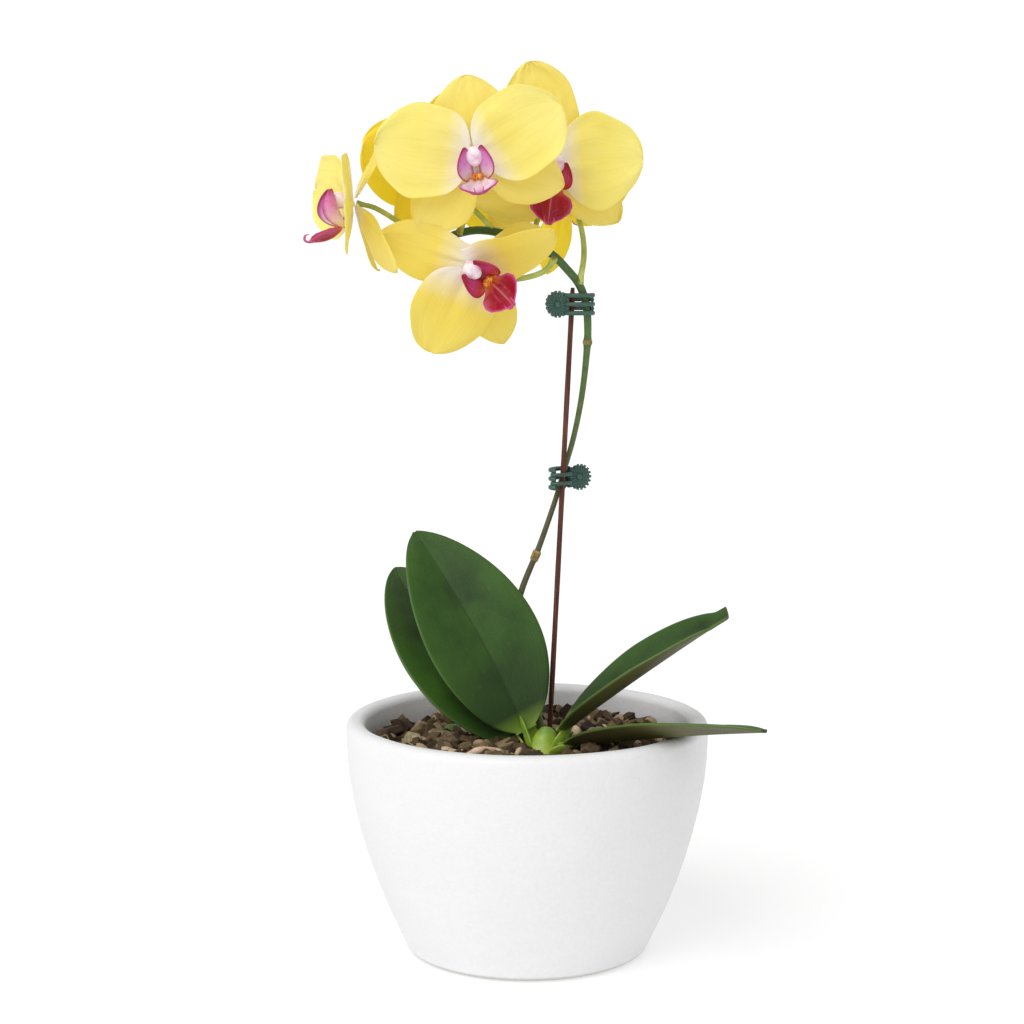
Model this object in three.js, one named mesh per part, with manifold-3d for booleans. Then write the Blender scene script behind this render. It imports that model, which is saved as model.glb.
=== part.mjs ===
// A potted moth orchid in flower. Millimetres, +Z up, origin at the centre of the pot's flat foot.
// The pot holds a bed of bark; a short crown in the bark carries four leaves and one flower spike,
// and two sprung claw clips tie the spike to a wooden stake.

import * as THREE from "three";
import { mergeVertices } from "three/addons/utils/BufferGeometryUtils.js";
import Module from "manifold-3d";

const wasm = await Module();
wasm.setup();

const CLEARANCE = 0.3; // gap between pieces that touch
const { PI, cos, sin, max, min, sqrt } = Math;
const radians = (degrees) => (degrees * PI) / 180;
const vector = ([x, y, z]) => new THREE.Vector3(x, y, z);
const UP = new THREE.Vector3(0, 0, 1);

// ---------------------------------------------------------------- driving dimensions

const POT = {
  segments: 36,
  height: 129,
  rimRadius: 100,
  shoulderRadius: 68, // where the wall meets the round of the foot
  footRadius: 64,
  footRound: 4,
  wall: 10.5,
  floor: 9,
  rimRound: 4.5,
  bulge: 1.9, // how soon the wall spreads: 1 is a plain cone
};

const BARK = { belowRim: 18, lump: 3.2, rings: 5, levels: 3 };

const CROWN = { x: 10, y: -12, radius: 8.5, rise: 17, depth: 14 };

const STAKE = { radius: 1.5, buried: 70, bottom: [12.3, 15], lean: 0.0492, length: 254 };

const SPIKE = {
  baseRadius: 2.1,
  tipRadius: 1.8,
  sides: 8,
  steps: 46,
  // from the crown, up behind the large leaf, past the stake, then arching over to the left
  course: [
    [9, 1, 109],
    [7, 2.5, 126],
    [-2, 6.5, 146],
    [-8.5, 11.5, 164],
    [-4, 16, 194],
    [7.1, 17.5, 222.7],
    [16.4, 18.6, 250],
    [20.7, 19, 265],
    [25.3, 19.2, 281],
    [29.7, 18, 303],
    [32.3, 17, 325],
    [33.2, 16, 342],
    [32.1, 15, 356],
    [28.4, 15, 366.5],
    [21.6, 14, 375],
    [13.4, 12, 383],
    [1.3, 9, 390],
    [-12.2, 6, 394],
    [-26.8, 2, 396],
    [-38.1, -1, 394],
    [-47.1, -4, 390.7],
    [-51.4, -3, 395.5],
  ],
};

const PEDICEL = { radius: 1.7, neckRadius: 1.4, sides: 6, steps: 6, endBehind: 1.6 };

const LEAF = { thickness: 2, steps: 10, strips: 4 };

// Each leaf runs from its base to its tip, and "face" is the way its upper side looks. The base is
// [degrees round the crown, gap from the crown's side, height above the bark].
const LEAVES = {
  leaf_large_left: {
    base: [160, 3, 12], tip: [-63, 25, 229], face: [0.25, -0.9, 0.35],
    width: 65, skew: 0.84, fullness: 0.62, fold: 0.26, arch: 0.14, bow: 0.012, stalk: 0.2,
  },
  leaf_back_left: {
    base: [142, 6.8, 3.5], tip: [-76, 45, 206], face: [0.45, -0.8, 0.4],
    width: 62, skew: 0.86, fullness: 0.6, fold: 0.2, arch: 0.2, bow: -0.07, stalk: 0.2,
  },
  leaf_upper_right: {
    base: [-18, 1, 13], tip: [106, -45, 193], face: [-0.45, -0.2, 0.85],
    width: 44, skew: 0.9, fullness: 0.6, fold: 0.4, arch: 0.06, stalk: 0.24,
  },
  leaf_lower_right: {
    base: [-36, 3.3, 5.5], tip: [120, -95, 142], face: [-0.25, 0.45, 0.9],
    width: 40, skew: 0.95, fullness: 0.6, fold: 0.3, arch: 0.06, stalk: 0.26,
  },
};

const LOBE = { thickness: 0.8, steps: 6, strips: 4, fromAxis: 3 };

// One flower's lobes: lift is how far in front of the flower's plane a lobe starts, sweep how far its
// midline leans forward, curl how much more it leans by its tip, cup how far its edges come forward.
const DORSAL = {
  length: 46, width: 37, skew: 0.92, fullness: 0.6, lift: -1, sweep: -0.1, curl: -0.12, cup: -0.12,
};
const PETAL = {
  length: 50, width: 52, skew: 0.8, fullness: 0.5, lift: 0.8, sweep: 0.05, curl: -0.12, cup: 0.1,
};
const LATERAL = {
  length: 47, width: 30, skew: 1.1, fullness: 0.7, lift: -1, sweep: -0.12, curl: -0.12, cup: -0.1,
};

const COLUMN = { length: 12, radius: 2.3, capRadius: 3, sides: 8 };
// The lip's claw hangs below the column, its blade runs forward from the claw's end, and two wings
// rise from there beside the column. A wing's rise, spread and lean are shares of its direction.
const LIP = {
  thickness: 1.1,
  claw: { length: 11, width: 8, sweep: 0.3, lift: 2.6, stalk: 0.8 },
  blade: { length: 20, width: 23, sweep: 0.95, curl: 0.5, cup: 0.3, skew: 1.5, fullness: 0.7, stalk: 0.3 },
  wing: { length: 18, width: 12, skew: 1.1, fullness: 0.55, cup: 0.5, stalk: 0.4 },
  wingRise: 0.85,
  wingSpread: 0.4,
  wingLean: 0.3,
};

// Angles are each lobe's direction round the flower, in degrees anticlockwise from its own right,
// seen from in front; "stalk" is the pedicel's course from the spike to the back of the flower.
const FLOWERS = {
  front: {
    centre: [-28, -28, 433], facing: [0, -1, -0.04],
    angles: { dorsal: 96, right: 31, left: 172, sepalRight: -17, sepalLeft: 232, lip: 279 },
    stalk: [[-37, -1, 394], [-33, -4, 405], [-29.5, -14, 420]],
    dorsal: { length: 41, width: 42 },
    right: { width: 49, fullness: 0.44 },
    left: { width: 50 },
    sepalRight: { width: 33 },
    sepalLeft: { width: 34 },
  },
  upper_right: {
    centre: [15, 12, 432], facing: [0.05, -0.98, -0.18],
    angles: { dorsal: 105, right: 5, left: 190, sepalRight: -42, sepalLeft: 226, lip: 252 },
    stalk: [[1.3, 9, 390], [5, 24.5, 400], [9.5, 29.5, 414]],
    dorsal: { length: 53, width: 40, fullness: 0.5, sweep: -0.02 },
    right: { length: 45 },
  },
  lower: {
    centre: [-30, -17, 377], facing: [0.16, -0.93, -0.33],
    angles: { dorsal: 167, right: 27, left: 248, sepalRight: 14, sepalLeft: -66, lip: -36 },
    stalk: [[15, 12.5, 381], [9, 6, 374], [-4, 1, 370], [-16, -2, 370], [-26, -6, 374.5]],
    dorsal: { sweep: -0.2, width: 32, length: 50 },
    right: { twist: 0.5, cup: 0.5, sweep: 0.2, width: 38, length: 46 },
    left: { width: 46 },
    sepalRight: { width: 26, sweep: -0.35 },
    sepalLeft: { width: 28, length: 51 },
  },
  end: {
    centre: [-93, -9, 410], facing: [-0.97, -0.23, 0],
    angles: { dorsal: 90, right: 0, left: 170, sepalRight: -50, sepalLeft: 228, lip: 270 },
    stalk: [[-47, -4, 391], [-59, -3, 394], [-71, -5, 401.5], [-82.5, -6, 408]],
    dorsal: { sweep: -0.4, width: 30 },
    right: { sweep: 0.3 },
    left: { sweep: 0.3, width: 46 },
    sepalRight: { sweep: -0.3, width: 26 },
    sepalLeft: { sweep: -0.3, width: 26 },
  },
  back_left: {
    centre: [-42, 34, 424], facing: [-0.42, 0.9, 0.1],
    angles: { dorsal: 78, right: 20, left: 186, sepalRight: -30, sepalLeft: 216, lip: 262 },
    stalk: [[-19, 4, 395.5], [-24, 12, 402], [-36, 24, 414]],
    right: { length: 53, width: 50 },
    left: { length: 42, width: 46 },
    sepalRight: { length: 40 },
    sepalLeft: { length: 40 },
  },
  back_right: {
    centre: [21, 50, 417], facing: [0.6, 0.79, -0.1],
    angles: { dorsal: 90, right: 14, left: 168, sepalRight: 280, sepalLeft: 208, lip: 238 },
    lipSize: 0.8,
    stalk: [[28.4, 15, 366.5], [31, 18, 383], [29.5, 24, 398], [25, 34, 410]],
    right: { length: 40, width: 40 },
    left: { length: 40, width: 38 },
    sepalRight: { length: 43, width: 24, sweep: 0.05 },
    sepalLeft: { length: 28, width: 22, sweep: 0.05 },
  },
};

const CLIP = {
  pinRadius: 0.7,
  barrelRadius: 1.6,
  height: 11,
  plate: { length: 6, thickness: 1.1 },
  pad: { radius: 6.6, hub: 5.2, thickness: 1.2, angle: 27, ribs: 10, rib: 0.3 },
  claw: { reach: 8.6, bow: 5.4, thickness: 1.2, width: 2, centre: 8, from: 155, to: -16 },
  frontClaws: [-4.8, 0, 4.8],
  rearClaws: [-2.4, 2.4],
};

// Each clip's hinge pin stands beside the stake at this height; "turn" is the way its claws point.
const CLIPS = {
  clip_upper: { height: 356, hinge: [19.8, 15], turn: 0 },
  clip_lower: { height: 260, hinge: [23.2, 23.8], turn: 236.5 },
};

const ROOT = { radius: 2.3, sides: 8, steps: 12 };
const ROOT_COURSE = [[-6, -26, 110], [-14, -34, 116], [-24, -40, 119], [-33, -45, 117], [-39, -49, 110]];

const FINISH = {
  pot: { color: 0xf1f1f2, roughness: 0.6, metalness: 0 },
  bark: { color: 0x7a4a2c, roughness: 0.95, metalness: 0 },
  crown: { color: 0xb7c46a, roughness: 0.5, metalness: 0 },
  leaf: { color: 0x34491a, roughness: 0.4, metalness: 0 },
  spike: { color: 0x55652f, roughness: 0.5, metalness: 0 },
  stake: { color: 0x5e3a28, roughness: 0.7, metalness: 0 },
  petal: { color: 0xf7dc5a, roughness: 0.6, metalness: 0 },
  lip: { color: 0xb03050, roughness: 0.5, metalness: 0 },
  column: { color: 0xf6efe4, roughness: 0.5, metalness: 0 },
  clip: { color: 0x35584e, roughness: 0.45, metalness: 0 },
  pin: { color: 0x9a9a9a, roughness: 0.35, metalness: 1 },
  root: { color: 0xd8bda4, roughness: 0.7, metalness: 0 },
};

// ---------------------------------------------------------------- solids

function geometryFrom(vertices, faces) {
  const geometry = new THREE.BufferGeometry();
  const positions = vertices.flatMap((p) => p.toArray());
  geometry.setAttribute("position", new THREE.Float32BufferAttribute(positions, 3));
  geometry.setIndex(faces.flat());
  return geometry;
}

// A geometry as a solid that can be joined and cut.
function solid(geometry) {
  const bare = geometry.clone();
  bare.deleteAttribute("normal");
  bare.deleteAttribute("uv");
  const merged = mergeVertices(bare, 1e-4);
  return new wasm.Manifold(
    new wasm.Mesh({
      numProp: 3,
      vertProperties: new Float32Array(merged.attributes.position.array),
      triVerts: new Uint32Array(merged.index.array),
    }),
  );
}

function geometryOf(manifold) {
  const { vertProperties, triVerts } = manifold.getMesh();
  const geometry = new THREE.BufferGeometry();
  geometry.setAttribute("position", new THREE.BufferAttribute(vertProperties, 3));
  geometry.setIndex(new THREE.BufferAttribute(triVerts, 1));
  return geometry;
}

const join = (geometries) => geometryOf(geometries.map(solid).reduce((whole, piece) => whole.add(piece)));
const cut = (geometry, tools) =>
  geometryOf(tools.map(solid).reduce((left, tool) => left.subtract(tool), solid(geometry)));

function mesh(name, geometry, finish) {
  const made = new THREE.Mesh(geometry, new THREE.MeshStandardMaterial(FINISH[finish]));
  made.name = name;
  return made;
}

// Vertices run in rings of the same count; neighbours are joined and the two ends closed with fans.
function loft(rings) {
  const count = rings[0].length;
  const vertices = rings.flat();
  const faces = [];
  for (let r = 0; r + 1 < rings.length; r++)
    for (let k = 0; k < count; k++) {
      const a = r * count + k;
      const b = r * count + ((k + 1) % count);
      faces.push([a, b, b + count], [a, b + count, a + count]);
    }
  for (const [ring, flip] of [[0, true], [rings.length - 1, false]]) {
    const middle = new THREE.Vector3();
    rings[ring].forEach((point) => middle.addScaledVector(point, 1 / count));
    const hub = vertices.push(middle) - 1;
    for (let k = 0; k < count; k++) {
      const a = ring * count + k;
      const b = ring * count + ((k + 1) % count);
      faces.push(flip ? [b, a, hub] : [a, b, hub]);
    }
  }
  return geometryFrom(vertices, faces);
}

// A round stem along a smooth curve through the points; radius is a function of the share of its length.
function stem(points, radius, steps, sides) {
  const curve = new THREE.CatmullRomCurve3(points.map(planted), false, "centripetal");
  const frames = curve.computeFrenetFrames(steps, false);
  const rings = [];
  for (let i = 0; i <= steps; i++) {
    const middle = curve.getPointAt(i / steps);
    const ring = [];
    for (let k = 0; k < sides; k++) {
      const angle = (2 * PI * k) / sides;
      const reach = radius(i / steps);
      ring.push(
        middle
          .clone()
          .addScaledVector(frames.normals[i], reach * cos(angle))
          .addScaledVector(frames.binormals[i], reach * sin(angle)),
      );
    }
    rings.push(ring);
  }
  return loft(rings);
}

// A sheet of even thickness over surface(u, v), with u from 0 to 1 along it and v from -1 to 1 across.
function sheet(surface, steps, strips, thickness) {
  const along = (i) => (1 - cos((PI * i) / steps)) / 2; // closer together at both ends
  const across = (j) => (2 * j) / strips - 1;
  const small = 1e-3;
  const sides = [thickness / 2, -thickness / 2].map((offset) => {
    const grid = [];
    for (let i = 0; i <= steps; i++)
      for (let j = 0; j <= strips; j++) {
        const [u, v] = [min(max(along(i), small), 1 - small), across(j)];
        const du = surface(u + small, v).sub(surface(u - small, v));
        const dv = surface(u, v + small).sub(surface(u, v - small));
        const normal = du.cross(dv).normalize();
        grid.push(surface(along(i), v).addScaledVector(normal, offset));
      }
    return grid;
  });
  const row = strips + 1;
  const below = sides[0].length;
  const faces = [];
  for (let i = 0; i < steps; i++)
    for (let j = 0; j < strips; j++) {
      const a = i * row + j;
      const [b, c, d] = [a + 1, a + row + 1, a + row];
      faces.push([a, c, b], [a, d, c]);
      faces.push([below + a, below + b, below + c], [below + a, below + c, below + d]);
    }
  const border = [];
  for (let j = 0; j < strips; j++) border.push(j);
  for (let i = 0; i < steps; i++) border.push(i * row + strips);
  for (let j = strips; j > 0; j--) border.push(steps * row + j);
  for (let i = steps; i > 0; i--) border.push(i * row);
  border.forEach((a, k) => {
    const b = border[(k + 1) % border.length];
    faces.push([a, b, below + b], [a, below + b, below + a]);
  });
  return geometryFrom([...sides[0], ...sides[1]], faces);
}

// The bark's level, and a point of the plant above it: the plant's points are written for this bed.
const barkTop = POT.height - BARK.belowRim;
const BED_LEVEL = 111;
const planted = ([x, y, z]) => vector([x, y, z + barkTop - BED_LEVEL]);

// A leaf or petal: a midline that bends from "sweep" by "curl" and bows sideways by "bow", with a
// rounded outline about it that is widest where skew puts it.
// start is its base; out, side and front are unit vectors along it, across it and off its upper face.
function blade(start, out, side, front, shape) {
  const { length, width, skew, fullness, sweep = 0, curl = 0, cup = 0, fold = 0 } = shape;
  const { twist = 0, bow = 0, stalk = 0.1 } = shape;
  const bend = curl || 1e-6;
  return (u, v) => {
    const lean = sweep + bend * u;
    const reach = (length * (sin(lean) - sin(sweep))) / bend;
    const rise = (length * (cos(sweep) - cos(lean))) / bend;
    const outline = max(sin(PI * max(u, 0) ** skew), 0) ** fullness;
    const half = (width / 2) * max(outline, u < 0.5 ? stalk : 0.05);
    const turn = twist * min(1, 2 * u);
    const across = cup ? sin(cup * v) / cup : v;
    const forward = (cup ? (1 - cos(cup * v)) / cup : 0) + fold * (sqrt(v * v + 0.03) - sqrt(0.03));
    const off = front.clone().multiplyScalar(cos(lean)).addScaledVector(out, -sin(lean));
    const edge = side.clone().multiplyScalar(cos(turn)).addScaledVector(off, sin(turn));
    const face = off.clone().multiplyScalar(cos(turn)).addScaledVector(side, -sin(turn));
    return start
      .clone()
      .addScaledVector(out, reach)
      .addScaledVector(front, rise)
      .addScaledVector(side, length * bow * 4 * u * (1 - u))
      .addScaledVector(edge, half * across)
      .addScaledVector(face, half * forward);
  };
}

// ---------------------------------------------------------------- pot and bed

// The pot's outer radius at a height above its foot.
function potRadius(z) {
  const share = (z - POT.footRound) / (POT.height - POT.rimRound - POT.footRound);
  const spread = 1 - max(0, 1 - share) ** POT.bulge;
  return POT.shoulderRadius + (POT.rimRadius - POT.shoulderRadius) * spread;
}

// The pot's inner radius at a height, for the wall and for what fills it.
const innerRadius = (z) => potRadius(z) - POT.wall;

function arc(cx, cz, radius, from, to, steps) {
  return Array.from({ length: steps + 1 }, (_, i) => {
    const angle = radians(from + ((to - from) * i) / steps);
    return new THREE.Vector2(cx + radius * cos(angle), cz + radius * sin(angle));
  });
}

function pot() {
  const { height, rimRound, footRound, floor, footRadius } = POT;
  const lipZ = height - rimRound;
  const profile = [new THREE.Vector2(0, 0), new THREE.Vector2(footRadius, 0)];
  const wallSteps = 6;
  for (let i = 0; i < wallSteps; i++) {
    const z = footRound + ((lipZ - footRound) * i) / wallSteps;
    profile.push(new THREE.Vector2(potRadius(z), z));
  }
  profile.push(...arc(potRadius(lipZ) - rimRound, lipZ, rimRound, 0, 90, 3));
  profile.push(...arc(innerRadius(lipZ) + rimRound, lipZ, rimRound, 90, 180, 3));
  for (let i = 1; i <= wallSteps; i++) {
    const z = lipZ + ((floor - lipZ) * i) / wallSteps;
    profile.push(new THREE.Vector2(innerRadius(max(z, footRound)), z));
  }
  profile.push(new THREE.Vector2(0, floor));
  return new THREE.LatheGeometry(profile, POT.segments).rotateX(PI / 2);
}


// A cylinder between two points.
function rod(from, to, radius, sides) {
  const length = from.distanceTo(to);
  const turn = new THREE.Quaternion().setFromUnitVectors(UP, to.clone().sub(from).normalize());
  return new THREE.CylinderGeometry(radius, radius, length, sides)
    .rotateX(PI / 2)
    .applyQuaternion(turn)
    .translate(...from.clone().lerp(to, 0.5).toArray());
}

const stakeAt = (z) => vector([STAKE.bottom[0] + STAKE.lean * (z - barkTop), STAKE.bottom[1], z]);
const stake = (grow = 0) =>
  rod(stakeAt(barkTop - STAKE.buried - grow), stakeAt(barkTop + STAKE.length), STAKE.radius + grow, 10);

// The stub of stem that the leaves and the spike grow from, rooted in the bark.
function crown(grow = 0) {
  const { x, y, radius, rise, depth } = CROWN;
  const shape = [
    [0, -depth - grow],
    [radius * 0.6 + grow, -depth - grow],
    [radius + grow, 0],
    [radius + grow, rise * 0.55],
    [radius * 0.8 + grow, rise * 0.85],
    [radius * 0.3 + grow, rise + grow],
    [0, rise + grow],
  ];
  const profile = shape.map(([r, z]) => new THREE.Vector2(r, z));
  return new THREE.LatheGeometry(profile, 14).rotateX(PI / 2).translate(x, y, barkTop);
}

// A bed of bark that fills the pot to a lumpy top.
function barkBed() {
  const { rings, levels, lump } = BARK;
  const spokes = POT.segments;
  const bottom = POT.floor + CLEARANCE;
  const layers = [];
  const ringAt = (radius, heightAt) =>
    Array.from({ length: spokes }, (_, k) => {
      const angle = (2 * PI * k) / spokes;
      return new THREE.Vector3(radius * cos(angle), radius * sin(angle), heightAt(k));
    });
  for (let i = 0; i <= levels; i++) {
    const z = bottom + ((barkTop - bottom) * i) / levels;
    layers.push(ringAt(innerRadius(z) - CLEARANCE, () => z));
  }
  for (let i = 1; i <= rings; i++) {
    const radius = (innerRadius(barkTop) - CLEARANCE) * (1 - i / (rings + 1));
    layers.push(ringAt(radius, (k) => barkTop + lump * sin(2.4 * k + 1.7 * i) * cos(1.3 * k * i)));
  }
  const holes = [stake(CLEARANCE), crown(CLEARANCE), spike(CLEARANCE, false), root(CLEARANCE)];
  return cut(loft(layers), holes);
}

// ---------------------------------------------------------------- spike

function spikeRadius(share) {
  return SPIKE.baseRadius + (SPIKE.tipRadius - SPIKE.baseRadius) * share;
}

// The flower's own frame: right, up and forward as unit vectors.
function flowerFrame({ facing }) {
  const front = vector(facing).normalize();
  const right = UP.clone().cross(front).normalize();
  const up = front.clone().cross(right);
  return { front, right, up };
}

// The spike with its side stalks, which grew as one piece.
function spike(grow = 0, withStalks = true) {
  const { course, steps, sides } = SPIKE;
  const main = stem(course, (share) => spikeRadius(share) + grow, steps, sides);
  if (!withStalks) return main;
  const stalks = Object.values(FLOWERS).map((flower) => {
    const { front } = flowerFrame(flower);
    const end = vector(flower.centre).addScaledVector(front, -PEDICEL.endBehind - LOBE.thickness);
    const taper = (share) => PEDICEL.radius + (PEDICEL.neckRadius - PEDICEL.radius) * share;
    return stem([...flower.stalk, end.toArray()], taper, PEDICEL.steps, PEDICEL.sides);
  });
  return join([main, ...stalks]);
}

function root(grow = 0) {
  const taper = (share) => ROOT.radius * (1 - 0.3 * share) + grow;
  return stem(ROOT_COURSE, taper, ROOT.steps, ROOT.sides);
}

// ---------------------------------------------------------------- leaves

// How far a leaf's lowest point over the rim lies below where it would clear it.
function rimShortfall(surface) {
  let lowest = Infinity;
  for (let u = 0; u <= 1; u += 0.02)
    for (let v = -1; v <= 1; v += 0.1) {
      const { x, y, z } = surface(u, v);
      const away = sqrt(x * x + y * y);
      if (away > POT.rimRadius - POT.wall - LEAF.thickness && away < POT.rimRadius + LEAF.thickness)
        lowest = min(lowest, z);
    }
  return max(0, POT.height + CLEARANCE + LEAF.thickness - lowest);
}

// A leaf; where it crosses the pot's rim too low, its tip is raised until it lies just over it.
function leaf(form, raise = 0) {
  const { base, tip, face, arch, ...shape } = form;
  const [around, gap, height] = base;
  const away = CROWN.radius + gap;
  const start = vector([
    CROWN.x + away * cos(radians(around)),
    CROWN.y + away * sin(radians(around)),
    barkTop + height,
  ]);
  const out = planted(tip).add(UP.clone().multiplyScalar(raise)).sub(start);
  const length = out.length();
  out.normalize();
  const side = out.clone().cross(vector(face)).normalize();
  const front = side.clone().cross(out);
  const surface = blade(start, out, side, front, { ...shape, length, sweep: arch, curl: -2 * arch });
  const short = rimShortfall(surface);
  if (short > 0.01 && raise < POT.height) return leaf(form, raise + 1.5 * short);
  return sheet(surface, LEAF.steps, LEAF.strips, LEAF.thickness);
}

// ---------------------------------------------------------------- flowers

// A lobe that starts beside the flower's axis and points at an angle round it.
function lobe(flower, angle, shape, grid = LOBE) {
  const { front, right, up } = flowerFrame(flower);
  const turn = radians(angle);
  const out = right.clone().multiplyScalar(cos(turn)).addScaledVector(up, sin(turn));
  const side = front.clone().cross(out);
  const start = planted(flower.centre)
    .addScaledVector(out, shape.fromAxis ?? LOBE.fromAxis)
    .addScaledVector(front, shape.lift);
  return sheet(blade(start, out, side, front, shape), grid.steps, grid.strips, grid.thickness);
}

// The column: a blunt club in the middle of the flower, widest at the cap on its end.
function column(flower) {
  const { length, radius, capRadius, sides } = COLUMN;
  const { front, right, up } = flowerFrame(flower);
  const shape = [[0, 0], [radius * 0.7, 0], [radius, length * 0.3], [capRadius, length * 0.72]];
  const profile = shape.map(([r, z]) => new THREE.Vector2(r, z));
  profile.push(new THREE.Vector2(capRadius * 0.7, length * 0.94), new THREE.Vector2(0, length));
  const place = new THREE.Matrix4().makeBasis(right, up, front).setPosition(planted(flower.centre));
  return new THREE.LatheGeometry(profile, sides).rotateX(PI / 2).applyMatrix4(place);
}

// The lip, grown as one piece: claw, blade and two wings.
function lip(flower) {
  const { thickness, wingRise, wingSpread, wingLean } = LIP;
  const size = flower.lipSize ?? 1;
  const scaled = (shape) => ({ ...shape, length: shape.length * size, width: shape.width * size });
  const grid = { steps: 4, strips: 2, thickness };
  const clawStart = COLUMN.capRadius + CLEARANCE + thickness;
  const claw = { skew: 0.9, fullness: 0.4, ...scaled(LIP.claw), fromAxis: clawStart };
  const along = 0.85 * claw.length; // where the blade and wings leave the claw
  const reach = clawStart + along * cos(claw.sweep);
  const lift = claw.lift + along * sin(claw.sweep);
  const tongue = { ...scaled(LIP.blade), fromAxis: reach, lift };

  const { front, right, up } = flowerFrame(flower);
  const turn = radians(flower.angles.lip);
  const out = right.clone().multiplyScalar(cos(turn)).addScaledVector(up, sin(turn));
  const side = front.clone().cross(out);
  const wings = [1, -1].map((way) => {
    const start = planted(flower.centre)
      .addScaledVector(out, reach - 1)
      .addScaledVector(front, lift)
      .addScaledVector(side, way * claw.width * 0.35);
    const rise = out.clone().multiplyScalar(-wingRise);
    rise.addScaledVector(side, way * wingSpread).addScaledVector(front, wingLean).normalize();
    const face = side.clone().multiplyScalar(-way).addScaledVector(front, 0.7);
    face.addScaledVector(rise, -face.dot(rise)).normalize();
    const across = face.clone().cross(rise);
    return sheet(blade(start, rise, across, face, scaled(LIP.wing)), grid.steps, grid.strips, thickness);
  });
  return join([
    lobe(flower, flower.angles.lip, claw, grid),
    lobe(flower, flower.angles.lip, tongue, grid),
    ...wings,
  ]);
}

function flowerMeshes(name, flower) {
  const { angles } = flower;
  const parts = {
    dorsal_sepal: [angles.dorsal, { ...DORSAL, ...flower.dorsal }],
    petal_right: [angles.right, { ...PETAL, ...flower.right }],
    petal_left: [angles.left, { ...PETAL, ...flower.left }],
    lateral_sepal_right: [angles.sepalRight, { ...LATERAL, ...flower.sepalRight }],
    lateral_sepal_left: [angles.sepalLeft, { ...LATERAL, ...flower.sepalLeft }],
  };
  const lobes = Object.entries(parts).map(([part, [angle, shape]]) =>
    mesh(`flower_${name}_${part}`, lobe(flower, angle, shape), "petal"),
  );
  return [
    ...lobes,
    mesh(`flower_${name}_lip`, lip(flower), "lip"),
    mesh(`flower_${name}_column`, column(flower), "column"),
  ];
}

// ---------------------------------------------------------------- clips

function box(x0, x1, y0, y1, z0, z1) {
  return new THREE.BoxGeometry(x1 - x0, y1 - y0, z1 - z0)
    .translate((x0 + x1) / 2, (y0 + y1) / 2, (z0 + z1) / 2);
}

const upright = (radius, z0, z1, sides = 12) => rod(vector([0, 0, z0]), vector([0, 0, z1]), radius, sides);

// One claw: a bowed band that starts at the hinge and hooks round past the end of the clip.
function claw(z) {
  const { reach, bow, thickness, width, centre, from, to } = CLIP.claw;
  const steps = 7;
  const edge = (inset, first, last) =>
    Array.from({ length: steps + 1 }, (_, i) => {
      const angle = radians(first + ((last - first) * i) / steps);
      return new THREE.Vector2(centre + (reach - inset) * cos(angle), (bow - inset) * sin(angle));
    });
  const outline = [...edge(0, from, to), ...edge(thickness, to, from)].reverse();
  return new THREE.ExtrudeGeometry(new THREE.Shape(outline), { depth: width, bevelEnabled: false })
    .translate(0, 0, z - width / 2);
}

// The finger pad: a thin scalloped disc, tilted away from the other jaw's pad.
function pad() {
  const { radius, hub, thickness, angle, ribs, rib } = CLIP.pad;
  const points = Array.from({ length: ribs * 2 }, (_, i) => {
    const turn = (PI * i) / ribs;
    const reach = radius + rib * cos(ribs * turn);
    return new THREE.Vector2(reach * cos(turn), reach * sin(turn));
  });
  return new THREE.ExtrudeGeometry(new THREE.Shape(points), { depth: thickness, bevelEnabled: false })
    .rotateX(PI / 2)
    .translate(-hub, CLIP.barrelRadius + CLEARANCE + thickness, 0)
    .rotateZ(radians(-angle));
}

// A jaw in the clip's frame: the pin along Z, claws towards +X, this jaw on the +Y side.
function jaw(clawHeights, knuckles) {
  const { plate, height, pinRadius, barrelRadius } = CLIP;
  const near = barrelRadius + CLEARANCE;
  const body = [
    box(-plate.length / 2, plate.length / 2, near, near + plate.thickness, -height / 2, height / 2),
    pad(),
    ...clawHeights.map(claw),
  ];
  for (const [low, high] of knuckles) {
    body.push(upright(barrelRadius, low, high), box(-0.8, 0.8, 0.5, near + 0.2, low, high));
  }
  return cut(join(body), [upright(pinRadius + CLEARANCE, -height, height)]);
}

function clipMeshes(name, { height, hinge, turn }) {
  const half = CLIP.height / 2;
  const split = half * 0.3;
  const at = planted([...hinge, height]);
  const place = new THREE.Matrix4().makeRotationZ(radians(turn)).setPosition(at);
  const rear = jaw(CLIP.rearClaws, [[-half, -split - CLEARANCE], [split + CLEARANCE, half]]);
  const front = geometryOf(solid(jaw(CLIP.frontClaws, [[-split, split]])).mirror([0, 1, 0]));
  const pin = upright(CLIP.pinRadius, -half - 0.5, half + 0.5, 8);
  return [
    mesh(`${name}_front_jaw`, front.applyMatrix4(place), "clip"),
    mesh(`${name}_rear_jaw`, rear.applyMatrix4(place), "clip"),
    mesh(`${name}_pin`, pin.applyMatrix4(place), "pin"),
  ];
}

// ---------------------------------------------------------------- the whole plant

const orchid = new THREE.Group();
orchid.name = "potted_orchid";
orchid.add(
  mesh("pot", pot(), "pot"),
  mesh("bark_bed", barkBed(), "bark"),
  mesh("crown", crown(), "crown"),
  mesh("stake", stake(), "stake"),
  mesh("flower_spike", spike(), "spike"),
  mesh("aerial_root", root(), "root"),
);
for (const [name, shape] of Object.entries(LEAVES)) orchid.add(mesh(name, leaf(shape), "leaf"));
for (const [name, flower] of Object.entries(FLOWERS)) orchid.add(...flowerMeshes(name, flower));
for (const [name, clip] of Object.entries(CLIPS)) orchid.add(...clipMeshes(name, clip));

export default orchid;
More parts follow.
